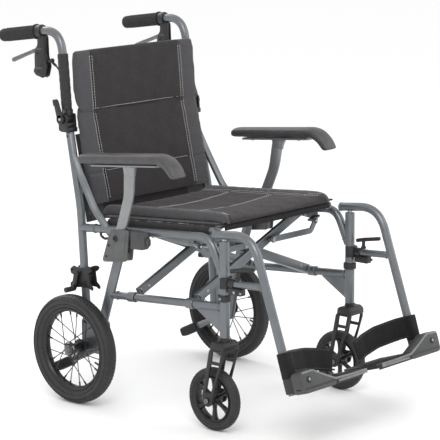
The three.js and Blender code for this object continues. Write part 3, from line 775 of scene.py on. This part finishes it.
def rear_wheel(name, side):
    centre = (297, 0, 142)
    tyre(name, side, "rear_wheel_" + name, "rear_tyre_" + name, centre, 142, 42, 33, 80, "rear_tyre")
    piece = Piece("rear_rim_" + name, side)
    half_rim = [(98.5, 3), (98.9, 6.5), (101, 8.5), (103.4, 12), (106, 13.5), (108, 13.2), (108.2, 8)]
    rim = [(r, -w) for r, w in reversed(half_rim)] + half_rim
    piece.add("gloss", turned(rim, centre, X, 96, wrap=True))
    hub = [(6.6, -34), (13, -34), (14, -32.5), (14, -24), (21, -23), (21, -19.5), (13, -18), (12, 0),
           (13, 12), (21, 13.5), (21, 17), (15, 18), (14, 20), (13, 21), (6.6, 21)]
    piece.add("gloss", turned(hub, centre, X, 48, wrap=True))
    place = Vector(centre)
    count = 20
    for k in range(count):
        outer = k % 2
        flange = 15.2 if outer else -21.2
        lean = 1 if k % 4 < 2 else -1
        rim_turn = 2 * math.pi * (k + 0.5) / count
        hub_turn = rim_turn + lean * math.radians(62)
        a = place + Vector((flange, 18.2 * math.sin(hub_turn), 18.2 * math.cos(hub_turn)))
        b = place + Vector((2.5 if outer else -2.5, 99.5 * math.sin(rim_turn), 99.5 * math.cos(rim_turn)))
        way = (b - a).normalized()
        piece.add("gloss", tube([a, b], 1.25, sides=8, ease=0),
                  tube([b - way * 12, b + way * 1], 2.3, sides=10, ease=0.6))
        piece.add("steel", turned([(0, -1.5), (2.3, -1.2), (2.3, 1.2), (0, 1.5)],
                                  a + X * (2.2 if outer else -2.2), X, 10))
    outward = Vector((0, -99, -30)).normalized()
    piece.add("black", ring_about(place + X * 2 + outward * 90, outward, 2.6, 18, sides=12))
    piece.place("rear_wheel_" + name, "wheel_plastic", "rear_wheel_" + name)
    axle = Piece("rear_axle_nut_" + name, side)
    axle.add("alloy", ring_about((289.6, 0, 142), X, 6, 70.4), ring_about((258.5, 0, 142), X, 11, 8.2),
             nut((318.3, 0, 142), X, 9.4, 5.2),
             turned([(0, 0), (6, 0), (5.4, 1.8), (3.4, 2.3), (0, 2.4)], (323.4, 0, 142), X, 24),
             turned([(6, 0), (13, 0), (13, 1.3), (6, 1.3)], (318.1, 0, 142), X, 32, wrap=True))
    axle.place("frame_" + name, "steel", "rear_axle_" + name)


def spoke_width(t):
    """Share of its outline that a caster spoke has at t, from the hub to the rim. It is least at t = 0.36."""
    return 1.5 - 0.7 * math.sin(math.pi * (0.25 + 0.6 * t)) ** 2 + 0.3 * t


def caster(name, side):
    centre = (245, -444, 79)
    tyre(name, side, "caster_wheel_" + name, "caster_tyre_" + name, centre, 79, 28, 21.5, 52, "caster_tyre")
    piece = Piece("caster_rim_" + name, side)
    rim = [(56.6, -11), (55.2, -11.6), (53.2, -10.5), (52.4, -6), (52, 0), (52.4, 6), (53.2, 10.5),
           (55.2, 11.6), (56.6, 11), (56.6, 0)]
    hub = [(5.2, -20), (11, -20), (12.5, -18), (14, -10), (14.4, 0), (14, 10), (12.5, 18), (11, 20),
           (5.2, 20)]
    piece.add("gloss", turned(rim, centre, X, 72, wrap=True), turned(hub, centre, X, 40, wrap=True))
    place = Vector(centre)
    for k in range(6):
        turn = 2 * math.pi * k / 6
        way = Vector((0, math.sin(turn), math.cos(turn)))
        a, b = place + way * 11, place + way * 53.5
        route = [a, a.lerp(b, 0.35), a.lerp(b, 0.75), b]
        piece.add("gloss", sweep(route, squircle(5.5, 5.2, 3, 20), across=X, ease=0, scale=spoke_width))
    for s in (-1, 1):
        piece.add("black", turned([(9, 0), (10.8, 0), (10.8, 2.4), (9, 2.4)],
                                  place + X * (20 * s if s > 0 else -22.4), X, 28, wrap=True))
    piece.place("caster_wheel_" + name, "wheel_plastic", "caster_wheel_" + name)
    fork = Piece("caster_fork_blades_" + name, side)
    blade = [(-502, 214), (-453, 214), (-427, 90), (-431, 70), (-444, 62), (-458, 70), (-464, 92)]
    windows = [[(-491, 206), (-463, 206), (-459, 182), (-486, 182)],
               [(-484, 174), (-457, 174), (-440, 100), (-456, 100)]]
    bore = [(-444 + 5.1 * math.cos(a * math.pi / 8), 79 + 5.1 * math.sin(a * math.pi / 8)) for a in range(16)]
    for low, high in ((216, 222), (268, 274)):
        fork.add("black", slab(blade, low, high, round_by=12, bevel=1.4, holes=[*windows, bore]))
    fork.add(
        "black",
        slab([(-501, 209), (-455, 209), (-457, 226), (-466, 231), (-490, 231), (-500, 224)], 216, 274,
             round_by=6, bevel=3.5),
        ring_about((245, POST_Y, 232), Z, 14.5, 12, edge=2.5),
    )
    fork.add("steel", ring_about((245, POST_Y, 247), Z, 6, 22))
    fork.place("caster_" + name, "black_plastic", "caster_fork_" + name)
    axle = Piece("caster_axle_bolt_" + name, side)
    axle.add("alloy", ring_about(centre, X, 4.6, 62), nut((274.4, -444, 79), X, 7.6, 4.6),
             screw((215.6, -444, 79), -X, 7.6, 4))
    axle.place("caster_" + name, "steel", "caster_axle_" + name)


# ---- hangers and footplates ----
def hanger(name, side):
    piece = Piece("hanger_tubes_" + name, side)
    foot = RAKED @ Vector((245, 0, 0))
    main = [(FRAME_X, -446, 491), (245, -571, 504), tuple(foot)]
    piece.add("frame", tube(main, 11, 90), tube([(245, -499, 377), (245, -606, 383.5)], 9),
              weld((245, -598, 383), Y, 9), ring_about((FRAME_X, -449, 491.3), Y, 11.8, 5))
    piece.add("steel", ring_about((FRAME_X, POST_Y, 475), Z, 6, 34))
    grip_ring = [(13.5 * math.cos(a), 13.5 * math.sin(a))
                 for a in [math.pi * (0.02 + 0.96 * k / 18) for k in range(19)]]
    outer = [(20 * math.cos(a), 20 * math.sin(a))
             for a in [math.pi * (0.98 - 0.96 * k / 18) for k in range(19)]]
    clamp = [(FRAME_X + u, POST_Y - v) for u, v in grip_ring + outer]
    piece.add("black", slab(clamp, 364, 391, "z", bevel=1.2),
              block((235, -540, 352), (255, -498, 369.4), 2.5),
              ring_about((245, -506, 377.5), Y, 11.8, 16, bore=9.1))
    piece.add("steel", screw((256, -520, 360), X, 4, 2), screw((256, -540, 360), X, 3.2, 2))
    piece.add("black", block((232.4, -26.2, 4), (257.6, 12.6, 46), 3.5), at=RAKED)
    piece.add("webbing", sweep([(245, -1, 42), (245, -1, 70), (245, -1, 104)],
                               squircle(15.6, 15.6, 3.2, 40), across=X, ease=2.5), at=RAKED)
    piece.add("steel", ring_about((FRAME_X, -37, 32), Y, 4.4, 50), at=RAKED)
    piece.place("hanger_" + name, "frame_paint", "hanger_" + name)

    collar = Piece("hanger_rest_" + name, side)
    collar.add("black", ring_about((FRAME_X, POST_Y, 338.5), Z, 17, 17, bore=12.7, edge=2))
    collar.add("steel", screw((260, POST_Y, 338.5), X, 3.4, 2))
    collar.place("frame_" + name, "black_plastic", "hanger_collar_" + name)

    lever = Piece("latch_handle_" + name, side)
    lever.add("black", ring_about((244, -522, 401), Z, 4.5, 25), ring_about((244, -522, 392), Z, 7, 6))
    lever.add("black", sweep(rounded([(244, -500, 408), (244, -522, 413), (244, -575, 422)], 40, 0.04),
                             squircle(6, 5, 2.8), across=X, ease=2.5))
    lever.place("latch_lever_" + name, "black_plastic", "latch_lever_" + name)


def footplate(name, side):
    piece = Piece("footplate_tread_" + name, side)
    outline = [(270, -60), (270, -27), (232, -27), (200, 18), (186, 66), (176, 74), (38, 74), (24, 60),
               (24, -44), (38, -60)]
    piece.add("black", slab(outline, 8, 15.2, "z", round_by=9, bevel=2), at=RAKED)
    ring = [(267, -57), (267, -30), (230, -30), (198, 15), (183, 64), (174, 71), (38, 71), (27, 60),
            (27, -44), (38, -57)]
    piece.add("black", slab(ring, 3.5, 8.5, "z", round_by=8, bevel=1), at=RAKED)
    ribs = [((x, -50), (x, 66)) for x in range(48, 176, 14)]
    for a, b in ribs:
        piece.add("black", sweep([(*a, 15.4), (*b, 15.4)], squircle(2.2, 0.9, 3, 12), across=X, ease=0.6),
                  at=RAKED)
    for v in (-40, 56):
        piece.add("black", sweep([(40, v, 1.2), (165, v, 1.2)], squircle(2, 2.6, 4, 12), across=Y,
                                 ease=0.6), at=RAKED)
    flange = [(270, 0), (270, 53), (225, 53), (150, 18), (150, 0)]
    front_edge = [(264, 49.5), (226, 50.5), (188, 32), (150, 15), (96, 13), (30, 13)]
    route = rounded([(x, -59.2, z) for x, z in front_edge], 20, 0.1)
    # Painted highlight: the front edge and the strip on the front face get a light grey in place of the light
    # they catch.
    piece.add("edge_highlight_plastic", sweep(route, squircle(1.6, 2.6, 3, 16), across=Y, ease=1), at=RAKED)
    piece.add("edge_highlight_plastic", slab([(140, 4.5), (140, 13.5), (30, 13.5), (30, 4.5)], -60, -58, "y",
                                   bevel=0.6), at=RAKED)
    piece.add("dark_plastic", slab(flange, -59.6, -55.5, "y", round_by=12, bevel=1.2), at=RAKED)
    piece.add("dark_plastic", slab(flange, -57, -27.2, "y", round_by=12, bevel=2.5), at=RAKED)
    piece.add("black", screw((FRAME_X, -59.8, 32), -Y, 8, 3.2), at=RAKED)
    piece.place("footplate_" + name, "frame_paint", "footplate_" + name)


def heel_loop(name, side):
    """Webbing with corded edges that runs inwards from the hanger tube, behind the heel."""
    piece = Piece("heel_strap_" + name, side)
    route = rounded([(232, -676, 208), (214, -662, 204), (190, -655, 200), (140, -645, 193),
                     (90, -646, 183), (48, -656, 174)], 70, 0.03)
    lean = Vector((0.05, 0.28, 0.96)).normalized()
    piece.add("webbing", sweep(route, squircle(28, 1.5, 5, 36), across=lean, ease=0.8))
    for edge in (-24.5, 24.5):
        offset = [p + lean * edge for p in route]
        piece.add("lining", sweep(offset, squircle(2.2, 2.0, 3, 12), across=lean, ease=0.5))
    made = piece.place("hanger_" + name, "webbing", "heel_loop_" + name)
    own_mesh(made)


# ---- cross brace ----
def brace(label, side, stations, body, nodes):
    piece = Piece("brace_bars_" + label, side)
    for v in stations:
        low, high = Vector((-FRAME_X, v, 0)), Vector((SEAT_RAIL[0], v, SEAT_RAIL[1]))
        piece.add("frame", sweep([low.lerp(high, 0.045), high], squircle(6, 12.5, 5, 32), across=Y, ease=1),
                  at=RAILS)
        piece.add("frame", ring_about(low, Y, 13.2, 24, bore=11, edge=1), at=RAILS)
        piece.add("frame", weld(low.lerp(high, 0.06), (high - low).normalized(), 10), at=RAILS)
        for share in (0.12, 0.9):
            piece.add("steel", screw(low.lerp(high, share) - Y * 6, -Y, 4.5, 2.2), at=RAILS)
    seat_rail = [(SEAT_RAIL[0], -440, SEAT_RAIL[1]), (SEAT_RAIL[0], -75, SEAT_RAIL[1])]
    piece.add("frame", tube(seat_rail, 10, sides=32, ease=1.5), at=RAILS)
    piece.place(body, "frame_paint", *nodes)
    rail_pocket(label, side, body)


def rail_pocket(label, side, body):
    """The seat cloth's pocket round its rail."""
    piece = Piece("rail_pocket_" + label, side)
    route = [(SEAT_RAIL[0], v, SEAT_RAIL[1]) for v in range(-76, -435, -6)]
    piece.add("lining", sweep(route, circle(11.6, 32), across=X, ease=1.5,
                              scale=lambda t: 1 + 0.012 * math.sin(t * 61) + 0.01 * math.sin(t * 23)),
              at=RAILS)
    piece.place(body, "upholstery")


def centre_bolt():
    piece = Piece("scissor_bolt")
    piece.add("steel", ring_about((0, -258, CENTRE_W), Y, 5, 238), nut((0, -378.4, CENTRE_W), Y, 9, 5),
              nut((0, -143, CENTRE_W), Y, 9, 5), ring_about((0, -373, CENTRE_W), Y, 11, 1.2), at=RAILS)
    piece.place("brace_a", "steel", "centre_bolt")


def stay(name, side, bar_front):
    piece = Piece("stay_strap_" + name, side)
    (px, pw), (qx, qw) = STAY_PIN, STAY_BOLT
    route = [(px, STAY_V, pw), (px - 20, STAY_V, pw - 24), (qx, STAY_V, qw)]
    piece.add("frame", sweep(rounded(route, 14), squircle(2, 8, 5, 28), across=Y, ease=0.6),
              ring_about((px, STAY_V, pw), Y, 9.5, 4, bore=4.4), ring_about((qx, STAY_V, qw), Y, 9.5, 4),
              at=RAILS)
    piece.add("steel", ring_about((qx, (STAY_V + bar_front) / 2 - 1, qw), Y, 6, bar_front - STAY_V - 2.5),
              screw((qx, STAY_V - 2, qw), -Y, 6.5, 3), at=RAILS)
    piece.add("black", ring_about((px, STAY_V - 3.2, pw), Y, 6.5, 2.2, bore=4.4), at=RAILS)
    piece.place("stay_" + name, "frame_paint", "stay_link_" + name)


# ---- upholstery ----
def remeshed(made, voxel):
    """Voxel remesh in place; the object keeps its transform and materials."""
    modifier = made.modifiers.new("remesh", "REMESH")
    modifier.mode = "VOXEL"
    modifier.voxel_size = voxel
    bake(made)


def bake(made):
    """Applies the modifiers to the object's mesh."""
    graph = bpy.context.evaluated_depsgraph_get()
    mesh = bpy.data.meshes.new_from_object(made.evaluated_get(graph))
    made.modifiers.clear()
    made.data = mesh


def inflated(made, pressure, cap, held):
    """Blows the closed mesh up a little as cloth, and keeps the points where held(x, y, z in mm) is true."""
    rest = [v.co.copy() for v in made.data.vertices]
    group = made.vertex_groups.new(name="held")
    for index, co in enumerate(rest):
        if held(co.x / MM, (co.y - AXLE_Y) / MM, co.z / MM):
            group.add([index], 1.0, "REPLACE")
    cloth_modifier = made.modifiers.new("cloth", "CLOTH")
    settings = cloth_modifier.settings
    settings.quality = 4
    settings.mass = 0.25
    settings.tension_stiffness = settings.compression_stiffness = 12
    settings.shear_stiffness = 6
    settings.bending_stiffness = 0.4
    settings.use_pressure = True
    settings.uniform_pressure_force = pressure
    settings.vertex_group_mass = "held"
    settings.effector_weights.gravity = 0
    scene = bpy.context.scene
    for number in range(1, 21):
        scene.frame_set(number)
    bake(made)
    scene.frame_set(1)
    for vert, start in zip(made.data.vertices, rest):
        move = vert.co - start
        if move.length > cap * MM:
            vert.co = start + move.normalized() * cap * MM


def subdivided(made, levels=1):
    modifier = made.modifiers.new("fine", "SUBSURF")
    modifier.levels = modifier.render_levels = levels
    bake(made)


def puckers(depth, along, length, wander, beside, reach):
    """Height of the small ripples that the thread draws into the cloth beside a seam."""
    return depth * math.sin(along / length + math.sin(along / wander) * 3) * math.exp(-(beside / reach) ** 2)


def seam_flare(v):
    """How far the seat's bolster seams move outwards near its front edge."""
    return max(0.0, (-400 - v) / 30) ** 1.6 * 9


def smooth(made):
    for polygon in made.data.polygons:
        polygon.use_smooth = True


def stitched(made, name, body, lines, normal, pitch=7.0, length=5.0, gauge=0.75):
    """Rows of short threads laid on the surface along lines of points in mm. They face along `normal`."""
    tree = BVHTree.FromObject(made, bpy.context.evaluated_depsgraph_get())
    piece = Piece(name)
    for line in lines:
        points = [metres(p) for p in line]
        reach = 0.0
        for a, b in zip(points, points[1:]):
            way = (b - a).normalized()
            span = (b - a).length / MM
            while reach < span - length:
                ends = []
                for along in (reach, reach + length / 2, reach + length):
                    hit = tree.ray_cast(a + way * along * MM + normal * 0.06, -normal, 0.12)[0]
                    if hit:
                        lift = 0.25 if along != reach + length / 2 else 0.75
                        ends.append(hit + normal * lift * MM)
                if len(ends) == 3:
                    drawn = [Vector((p.x / MM, (p.y - AXLE_Y) / MM, p.z / MM)) for p in ends]
                    piece.add("thread", sweep(drawn, circle(gauge, 6), ease=gauge * 0.8))
                reach += pitch
            reach -= span
    return piece.place(body, "upholstery")


def groove(distance, depth, width):
    """How far a seam pulls the surface in, at a distance from it."""
    return depth * math.exp(-(distance / width) ** 2)


SEAT_SEAM = 160
SEAT_FRONT, SEAT_BACK = -462, -34


def seat_edge(v):
    """Half width of the seat at v: full, with rounded front corners and sides that pull in a little."""
    t = (v - SEAT_FRONT) / (SEAT_BACK - SEAT_FRONT)
    corner = min(1, max(0, (v - SEAT_FRONT) / 14))
    return 211 - 2.5 * math.sin(math.pi * t) - 12 * (1 - math.sqrt(max(0, 1 - (1 - corner) ** 2)))


def seat_top(x, v):
    """Height of the seat's top face: side bolsters, and a middle that sags."""
    edge = seat_edge(v)
    side = min(1, abs(x) / edge)
    middle = max(0.0, 1 - (abs(x) / SEAT_SEAM) ** 2)
    front = max(0.0, (SEAT_FRONT + 34 - v) / 34)
    rear = max(0.0, (v - SEAT_BACK + 20) / 20)
    sag = (4 + 6 * math.sin(math.pi * min(1, max(0, (v + 30) / -400)))) * middle
    bolster = 9.5 * math.exp(-((abs(x) - 190) / 17) ** 2)
    shoulder = 17 * max(0, (side - 0.93) / 0.07) ** 2
    corner = max(0.0, (abs(x) - 120) / 90) * max(0.0, (-400 - v) / 60)
    return 215.5 + bolster - sag - shoulder - 9 * front ** 2.2 - 6 * rear ** 2 - 6 * corner ** 1.5


def seat_cushion():
    loops = []
    count = 60
    for k in range(count + 1):
        v = SEAT_FRONT + (SEAT_BACK - SEAT_FRONT) * k / count
        edge = seat_edge(v)
        top = [Vector((edge * math.sin(math.pi / 2 * (j / 40 * 2 - 1)), 0, 0)) for j in range(41)]
        loop = [Vector((p.x, v, seat_top(p.x, v))) for p in top]
        loop += [Vector((p.x * 0.985, v, 200.5)) for p in reversed(top)]
        loops.append(loop)
    piece = Piece("seat_pad")
    piece.add("cloth", skin(loops), at=RAILS)
    made = piece.place("seat", "upholstery", "seat_cushion")
    remeshed(made, 0.005)
    back_to_rails = RAILS.inverted()

    def rails_point(x, y, z):
        return back_to_rails @ Vector((x, y, z))

    def seam_distance(p):
        """Distance to the nearest seam: the bolsters' or a crosswise one."""
        side = abs(abs(p.x) - SEAT_SEAM - seam_flare(p.y))
        cross = min(abs(p.y + 150), abs(p.y + 300)) if abs(p.x) < SEAT_SEAM else 99
        return min(side, cross)

    def held(x, y, z):
        p = rails_point(x, y, z)
        return p.z < 203 or (p.z > 205 and seam_distance(p) < 3.2)
    inflated(made, 5.0, 7, held)
    subdivided(made)
    for vert in made.data.vertices:
        p = rails_point(vert.co.x / MM, (vert.co.y - AXLE_Y) / MM, vert.co.z / MM)
        if p.z < 204:
            continue
        drop = groove(abs(p.x) - SEAT_SEAM - seam_flare(p.y), 3.4, 3.2)
        if abs(p.x) < SEAT_SEAM:
            drop += groove(p.y + 150, 2.6, 4) + groove(p.y + 300, 2.6, 4)
            drop += 0.5 * math.sin(p.x / 9 + p.y / 31) * math.sin(p.y / 17 - p.x / 60)
        ripple = puckers(0.7, p.y, 5.5, 37, abs(p.x) - SEAT_SEAM - 12, 13)
        p.z -= drop - ripple
        vert.co = metres(RAILS @ p)
    colour_bolsters(made, lambda x, y, z: abs(x) > SEAT_SEAM + seam_flare(rails_point(x, y, z).y))
    smooth(made)
    lines = []
    for side in (-1, 1):
        for offset in (-4.5, 4.5):
            lines.append([RAILS @ Vector((side * (SEAT_SEAM + offset + seam_flare(v)), v, 215))
                          for v in range(-446, -44, 12)])
    for v in (-150, -300):
        for offset in (-4, 4):
            lines.append([RAILS @ Vector((x, v + offset, 215)) for x in range(-150, 151, 12)])
    threads = stitched(made, "seat_pad_stitches", "seat", lines,
                       Vector((0, math.sin(RAIL_PITCH), math.cos(RAIL_PITCH))))
    fold_seat(made)
    fold_seat(threads)


def colour_bolsters(made, on_bolster):
    """Gives the side bolsters the lighter, smoother cloth."""
    made.data.materials.clear()
    made.data.materials.append(FINISH["cloth"])
    made.data.materials.append(FINISH["bolster"])
    for polygon in made.data.polygons:
        c = polygon.center
        polygon.material_index = int(on_bolster(c.x / MM, (c.y - AXLE_Y) / MM, c.z / MM))


def fold_seat(made):
    """Gives the seat piece its own copy of its mesh."""
    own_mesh(made)


def seat_sling():
    """The cloth between the seat rails that carries the cushion, rolled over at its front hem."""
    piece = Piece("seat_sling")
    loops = []
    count = 44
    for k in range(count + 1):
        x = -204 + 408 * k / count
        dip = 9 * (1 - (x / 204) ** 2)
        upper = [(v, 195 - dip * math.sin(math.pi * min(1, (-v) / 500))) for v in range(-452, -48, 13)]
        edge = upper[0][1]
        hem = [(-455.5, edge - 2.6), (-455.5, edge - 6.4), (-451, edge - 8.2), (-440, edge - 7.4)]
        path = list(reversed(hem)) + upper
        inner_hem = [(-451.5, edge - 3.2), (-451.5, edge - 5.4), (-449, edge - 6.2), (-440, edge - 5.6)]
        thick = [(v, w - 2.0) for v, w in reversed(upper)] + inner_hem
        loops.append([Vector((x, v, w)) for v, w in path + thick])
    piece.add("lining", skin(loops), at=RAILS)
    front = [Vector((x, -456.5, 193 - 9 * (1 - (x / 204) ** 2) * math.sin(math.pi * 0.9) - 6))
             for x in range(-200, 201, 10)]
    piece.add("webbing", sweep(front, squircle(2.4, 6.5, 4, 20), across=Y, ease=1), at=RAILS)
    for side in (-1, 1):
        edges = sorted((side * 202, side * 226))
        piece.add("lining", block((edges[0], -450, 195.2), (edges[1], -60, 200.2), 2), at=RAILS)
    made = piece.place("seat", "upholstery")
    fold_seat(made)


BACK_HALF = 221
BACK_SEAM = 165
UPPER_ARC, LOWER_ARC = 37.6, 36.8


def fold_back(made):
    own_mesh(made)


def back_pad(name, body, node, outline, seams, heights):
    """One half of the back, quilted, with lighter side bolsters. The outline is its section in (y, z)."""
    piece = Piece(name)
    loops = []
    count = 72
    middle = Vector((0, sum(y for y, z in outline) / len(outline), sum(z for y, z in outline) / len(outline)))
    for k in range(count + 1):
        x = -BACK_HALF + 2 * BACK_HALF * k / count
        side = abs(x) / BACK_HALF
        pull = 1 - 0.22 * max(0, (side - 0.965) / 0.035) ** 2
        hollow = 5.5 * (1 - (x / BACK_HALF) ** 2)
        loop = []
        for y, z in outline:
            p = middle + (Vector((0, y, z)) - middle) * pull
            loop.append(Vector((x, p.y + hollow, p.z)))
        loops.append(loop)
    piece.add("cloth", skin(loops))
    made = piece.place(body, "upholstery", node)
    remeshed(made, 0.005)
    low, high = heights

    def seam_distance(x, z):
        return min([abs(abs(x) - BACK_SEAM), *[abs(z - s) for s in seams]])

    def held(x, y, z):
        return seam_distance(x, z) < 3.2 or z < low + 9 or z > high - 6 or abs(abs(x) - BACK_HALF) < 5
    inflated(made, 5.0, 5, held)
    subdivided(made)
    faces_front = [vert.normal.y < 0 for vert in made.data.vertices]
    for vert, front in zip(made.data.vertices, faces_front):
        x, z = vert.co.x / MM, vert.co.z / MM
        drop = groove(abs(x) - BACK_SEAM, 2.6, 3)
        for s in seams:
            drop += groove(z - s, 2.2, 3.2)
        if abs(x) < BACK_SEAM:
            drop += 0.6 * math.sin(x / 13 + z / 23) * math.sin(z / 15 - x / 50)
        drop -= puckers(0.6, z, 5.2, 31, abs(x) - BACK_SEAM - 11, 12)
        inner = min(1, max(0, (z - low - 4) / 10)) * min(1, max(0, (high - 3 - z) / 8))
        vert.co.y += (drop if front else -drop * 0.6) * inner * MM
    colour_bolsters(made, lambda x, y, z: abs(x) > BACK_SEAM)
    smooth(made)
    lines = []
    for side in (-1, 1):
        for offset in (-4.2, 4.2):
            lines.append([(side * (BACK_SEAM + offset), -40, z)
                          for z in range(int(low) + 12, int(high) - 6, 12)])
    for s in seams:
        lines.append([(x, -40, s + 3) for x in range(-156, 157, 12)])
    forward = Vector((0, -1, 0))
    threads = stitched(made, name + "_stitches", body, [[(x, 20, z) for x, y, z in line] for line in lines],
                       forward)
    behind = stitched(made, name + "_rear_stitches", body,
                      [[(x, 80, z) for x, y, z in line] for line in lines], -forward)
    for made_piece in (made, threads, behind):
        fold_back(made_piece)


def hinge_arc(radius, start, end, count):
    _, y, z = BACK_HINGE
    return [(y - radius * math.cos(a), z + radius * math.sin(a))
            for a in [start + (end - start) * k / count for k in range(count + 1)]]


def back():
    lower = [(-9, 511), (-6, 509), (8, 509), (14, 516), (34, 602), (43, 664), (49, 700), (56, 730), (58, 752)]
    lower += [(y, z) for y, z in reversed(hinge_arc(LOWER_ARC, 0.0, 0.96, 8))] + [(33, 700), (12, 604)]
    back_pad("back_pad_lower", "frame_right", "back_lower", lower, (587,), (509, 758))
    upper = hinge_arc(UPPER_ARC, 0.16, 1.02, 6) + [(67, 800), (71, 880), (70, 896), (66, 901), (58, 901),
                                                   (53, 896), (50, 860), (45, 800)]
    back_pad("back_pad_upper", "cane_right", "back_upper", upper, (746,), (736, 901))


def back_lining():
    """The cloth the lower back pad is sewn to: it reaches the back posts and hangs down behind the seat."""
    piece = Piece("back_lining")
    rows = []
    for k in range(28):
        z = 462 + 224 * k / 27
        y = 17 + (z - 462) * 0.19 + 4 * max(0, (z - 640) / 46)
        half = 230 - (z - 462) * 0.045
        across = [half * (2 * j / 40 - 1) for j in range(41)]
        front = [Vector((x, y - 4 * (x / half) ** 8, z)) for x in across]
        rows.append(front + [p + Y * 1.6 for p in reversed(front)])
    piece.add("lining", skin(rows))
    made = piece.place("frame_right", "upholstery")
    made.data.materials.append(FINISH["cloth"])
    made.data.materials.append(FINISH["bolster"])
    for polygon in made.data.polygons:
        reach = abs(polygon.center.x) / MM
        polygon.material_index = 1 if reach < BACK_SEAM else 2 if reach < 212 else 0
    smooth(made)
    fold_back(made)


def cane_sleeve(name, side):
    """The back cloth's pocket round the cane, from the fold up to the top."""
    piece = Piece("back_sleeve_" + name, side)
    route = [(233, 76.3, 762), (231.6, 82.8, 828), (230.3, 89.5, 894)]
    route = [Vector(p) for p in route]
    def rumple(t):
        return 1 + 0.02 * math.sin(t * 41) + 0.012 * math.sin(t * 97)
    fine = []
    for k in range(61):
        spot = k / 60 * (len(route) - 1)
        i = min(int(spot), len(route) - 2)
        fine.append(route[i].lerp(route[i + 1], spot - i))
    piece.add("sleeve", sweep(fine, circle(13.8, 36), across=X, ease=1.2, scale=rumple))
    return piece.place("cane_" + name, "upholstery")


# ---- the assembly ----
for side_name, sign in SIDES:
    side_frame(side_name, sign)
    tipping_pedal(side_name, sign)
    back_hinge(side_name, sign)
    cane(side_name, sign)
    grip(side_name, sign)
    brake_handle(side_name, sign)
    brake_cable(side_name, sign)
    brake_caliper(side_name, sign)
    arm_socket(side_name, sign)
    armrest(side_name, sign)
    arm_pad(side_name, sign)
    rear_wheel(side_name, sign)
    caster(side_name, sign)
    hanger(side_name, sign)
    footplate(side_name, sign)
    heel_loop(side_name, sign)
    stay(side_name, sign, -359.6 if sign < 0 else -373)
    cane_sleeve(side_name, sign)
brace("a", 1, (-367, -163), "brace_a", ["cross_bar_a"])
brace("b", -1, (-353.6, -149.6), "brace_b", ["cross_bar_b"])
centre_bolt()
seat_cushion()
seat_sling()
back()
back_lining()


# ---- studio ----
def studio():
    white = bpy.data.materials.new("backdrop")
    white.use_nodes = True
    white.node_tree.nodes["Principled BSDF"].inputs["Base Color"].default_value = (0.93, 0.93, 0.93, 1)
    white.node_tree.nodes["Principled BSDF"].inputs["Roughness"].default_value = 0.9
    bpy.ops.mesh.primitive_plane_add(size=60, location=(0, 0, -0.0005))
    floor = bpy.context.object
    floor.name = "floor"
    floor.data.materials.append(white)
    world = bpy.data.worlds.new("studio")
    bpy.context.scene.world = world
    world.use_nodes = True
    background = world.node_tree.nodes["Background"]
    background.inputs["Color"].default_value = (1, 1, 1, 1)
    background.inputs["Strength"].default_value = 1.05
    for label, spot, size, power in (("key", (-2.6, -2.2, 3.4), 2.2, 75), ("fill", (2.8, -2.6, 2.2), 2.6, 30),
                                     ("rim", (0.6, 3.4, 2.6), 2.0, 45)):
        light = bpy.data.lights.new(label, "AREA")
        light.size, light.energy = size, power
        lamp = bpy.data.objects.new(label, light)
        lamp.location = spot
        lamp.rotation_mode = "QUATERNION"
        lamp.rotation_quaternion = (Vector((0, 0, 0.45)) - Vector(spot)).to_track_quat("-Z", "Y")
        bpy.context.scene.collection.objects.link(lamp)


def camera():
    data = bpy.data.cameras.new("camera")
    data.sensor_width = 36
    data.lens = 165.35
    data.shift_x, data.shift_y = -0.0533, -0.0145
    made = bpy.data.objects.new("camera", data)
    made.location = (-3.783, -3.4867, 1.460)
    towards = -Vector((-0.7326, -0.6544, 0.1873))
    made.rotation_mode = "QUATERNION"
    roll = Matrix.Rotation(math.radians(-0.365), 4, "Z").to_quaternion()
    made.rotation_quaternion = towards.to_track_quat("-Z", "Y") @ roll
    bpy.context.scene.collection.objects.link(made)
    bpy.context.scene.camera = made


studio()
camera()
bpy.context.scene.view_settings.view_transform = "Standard"
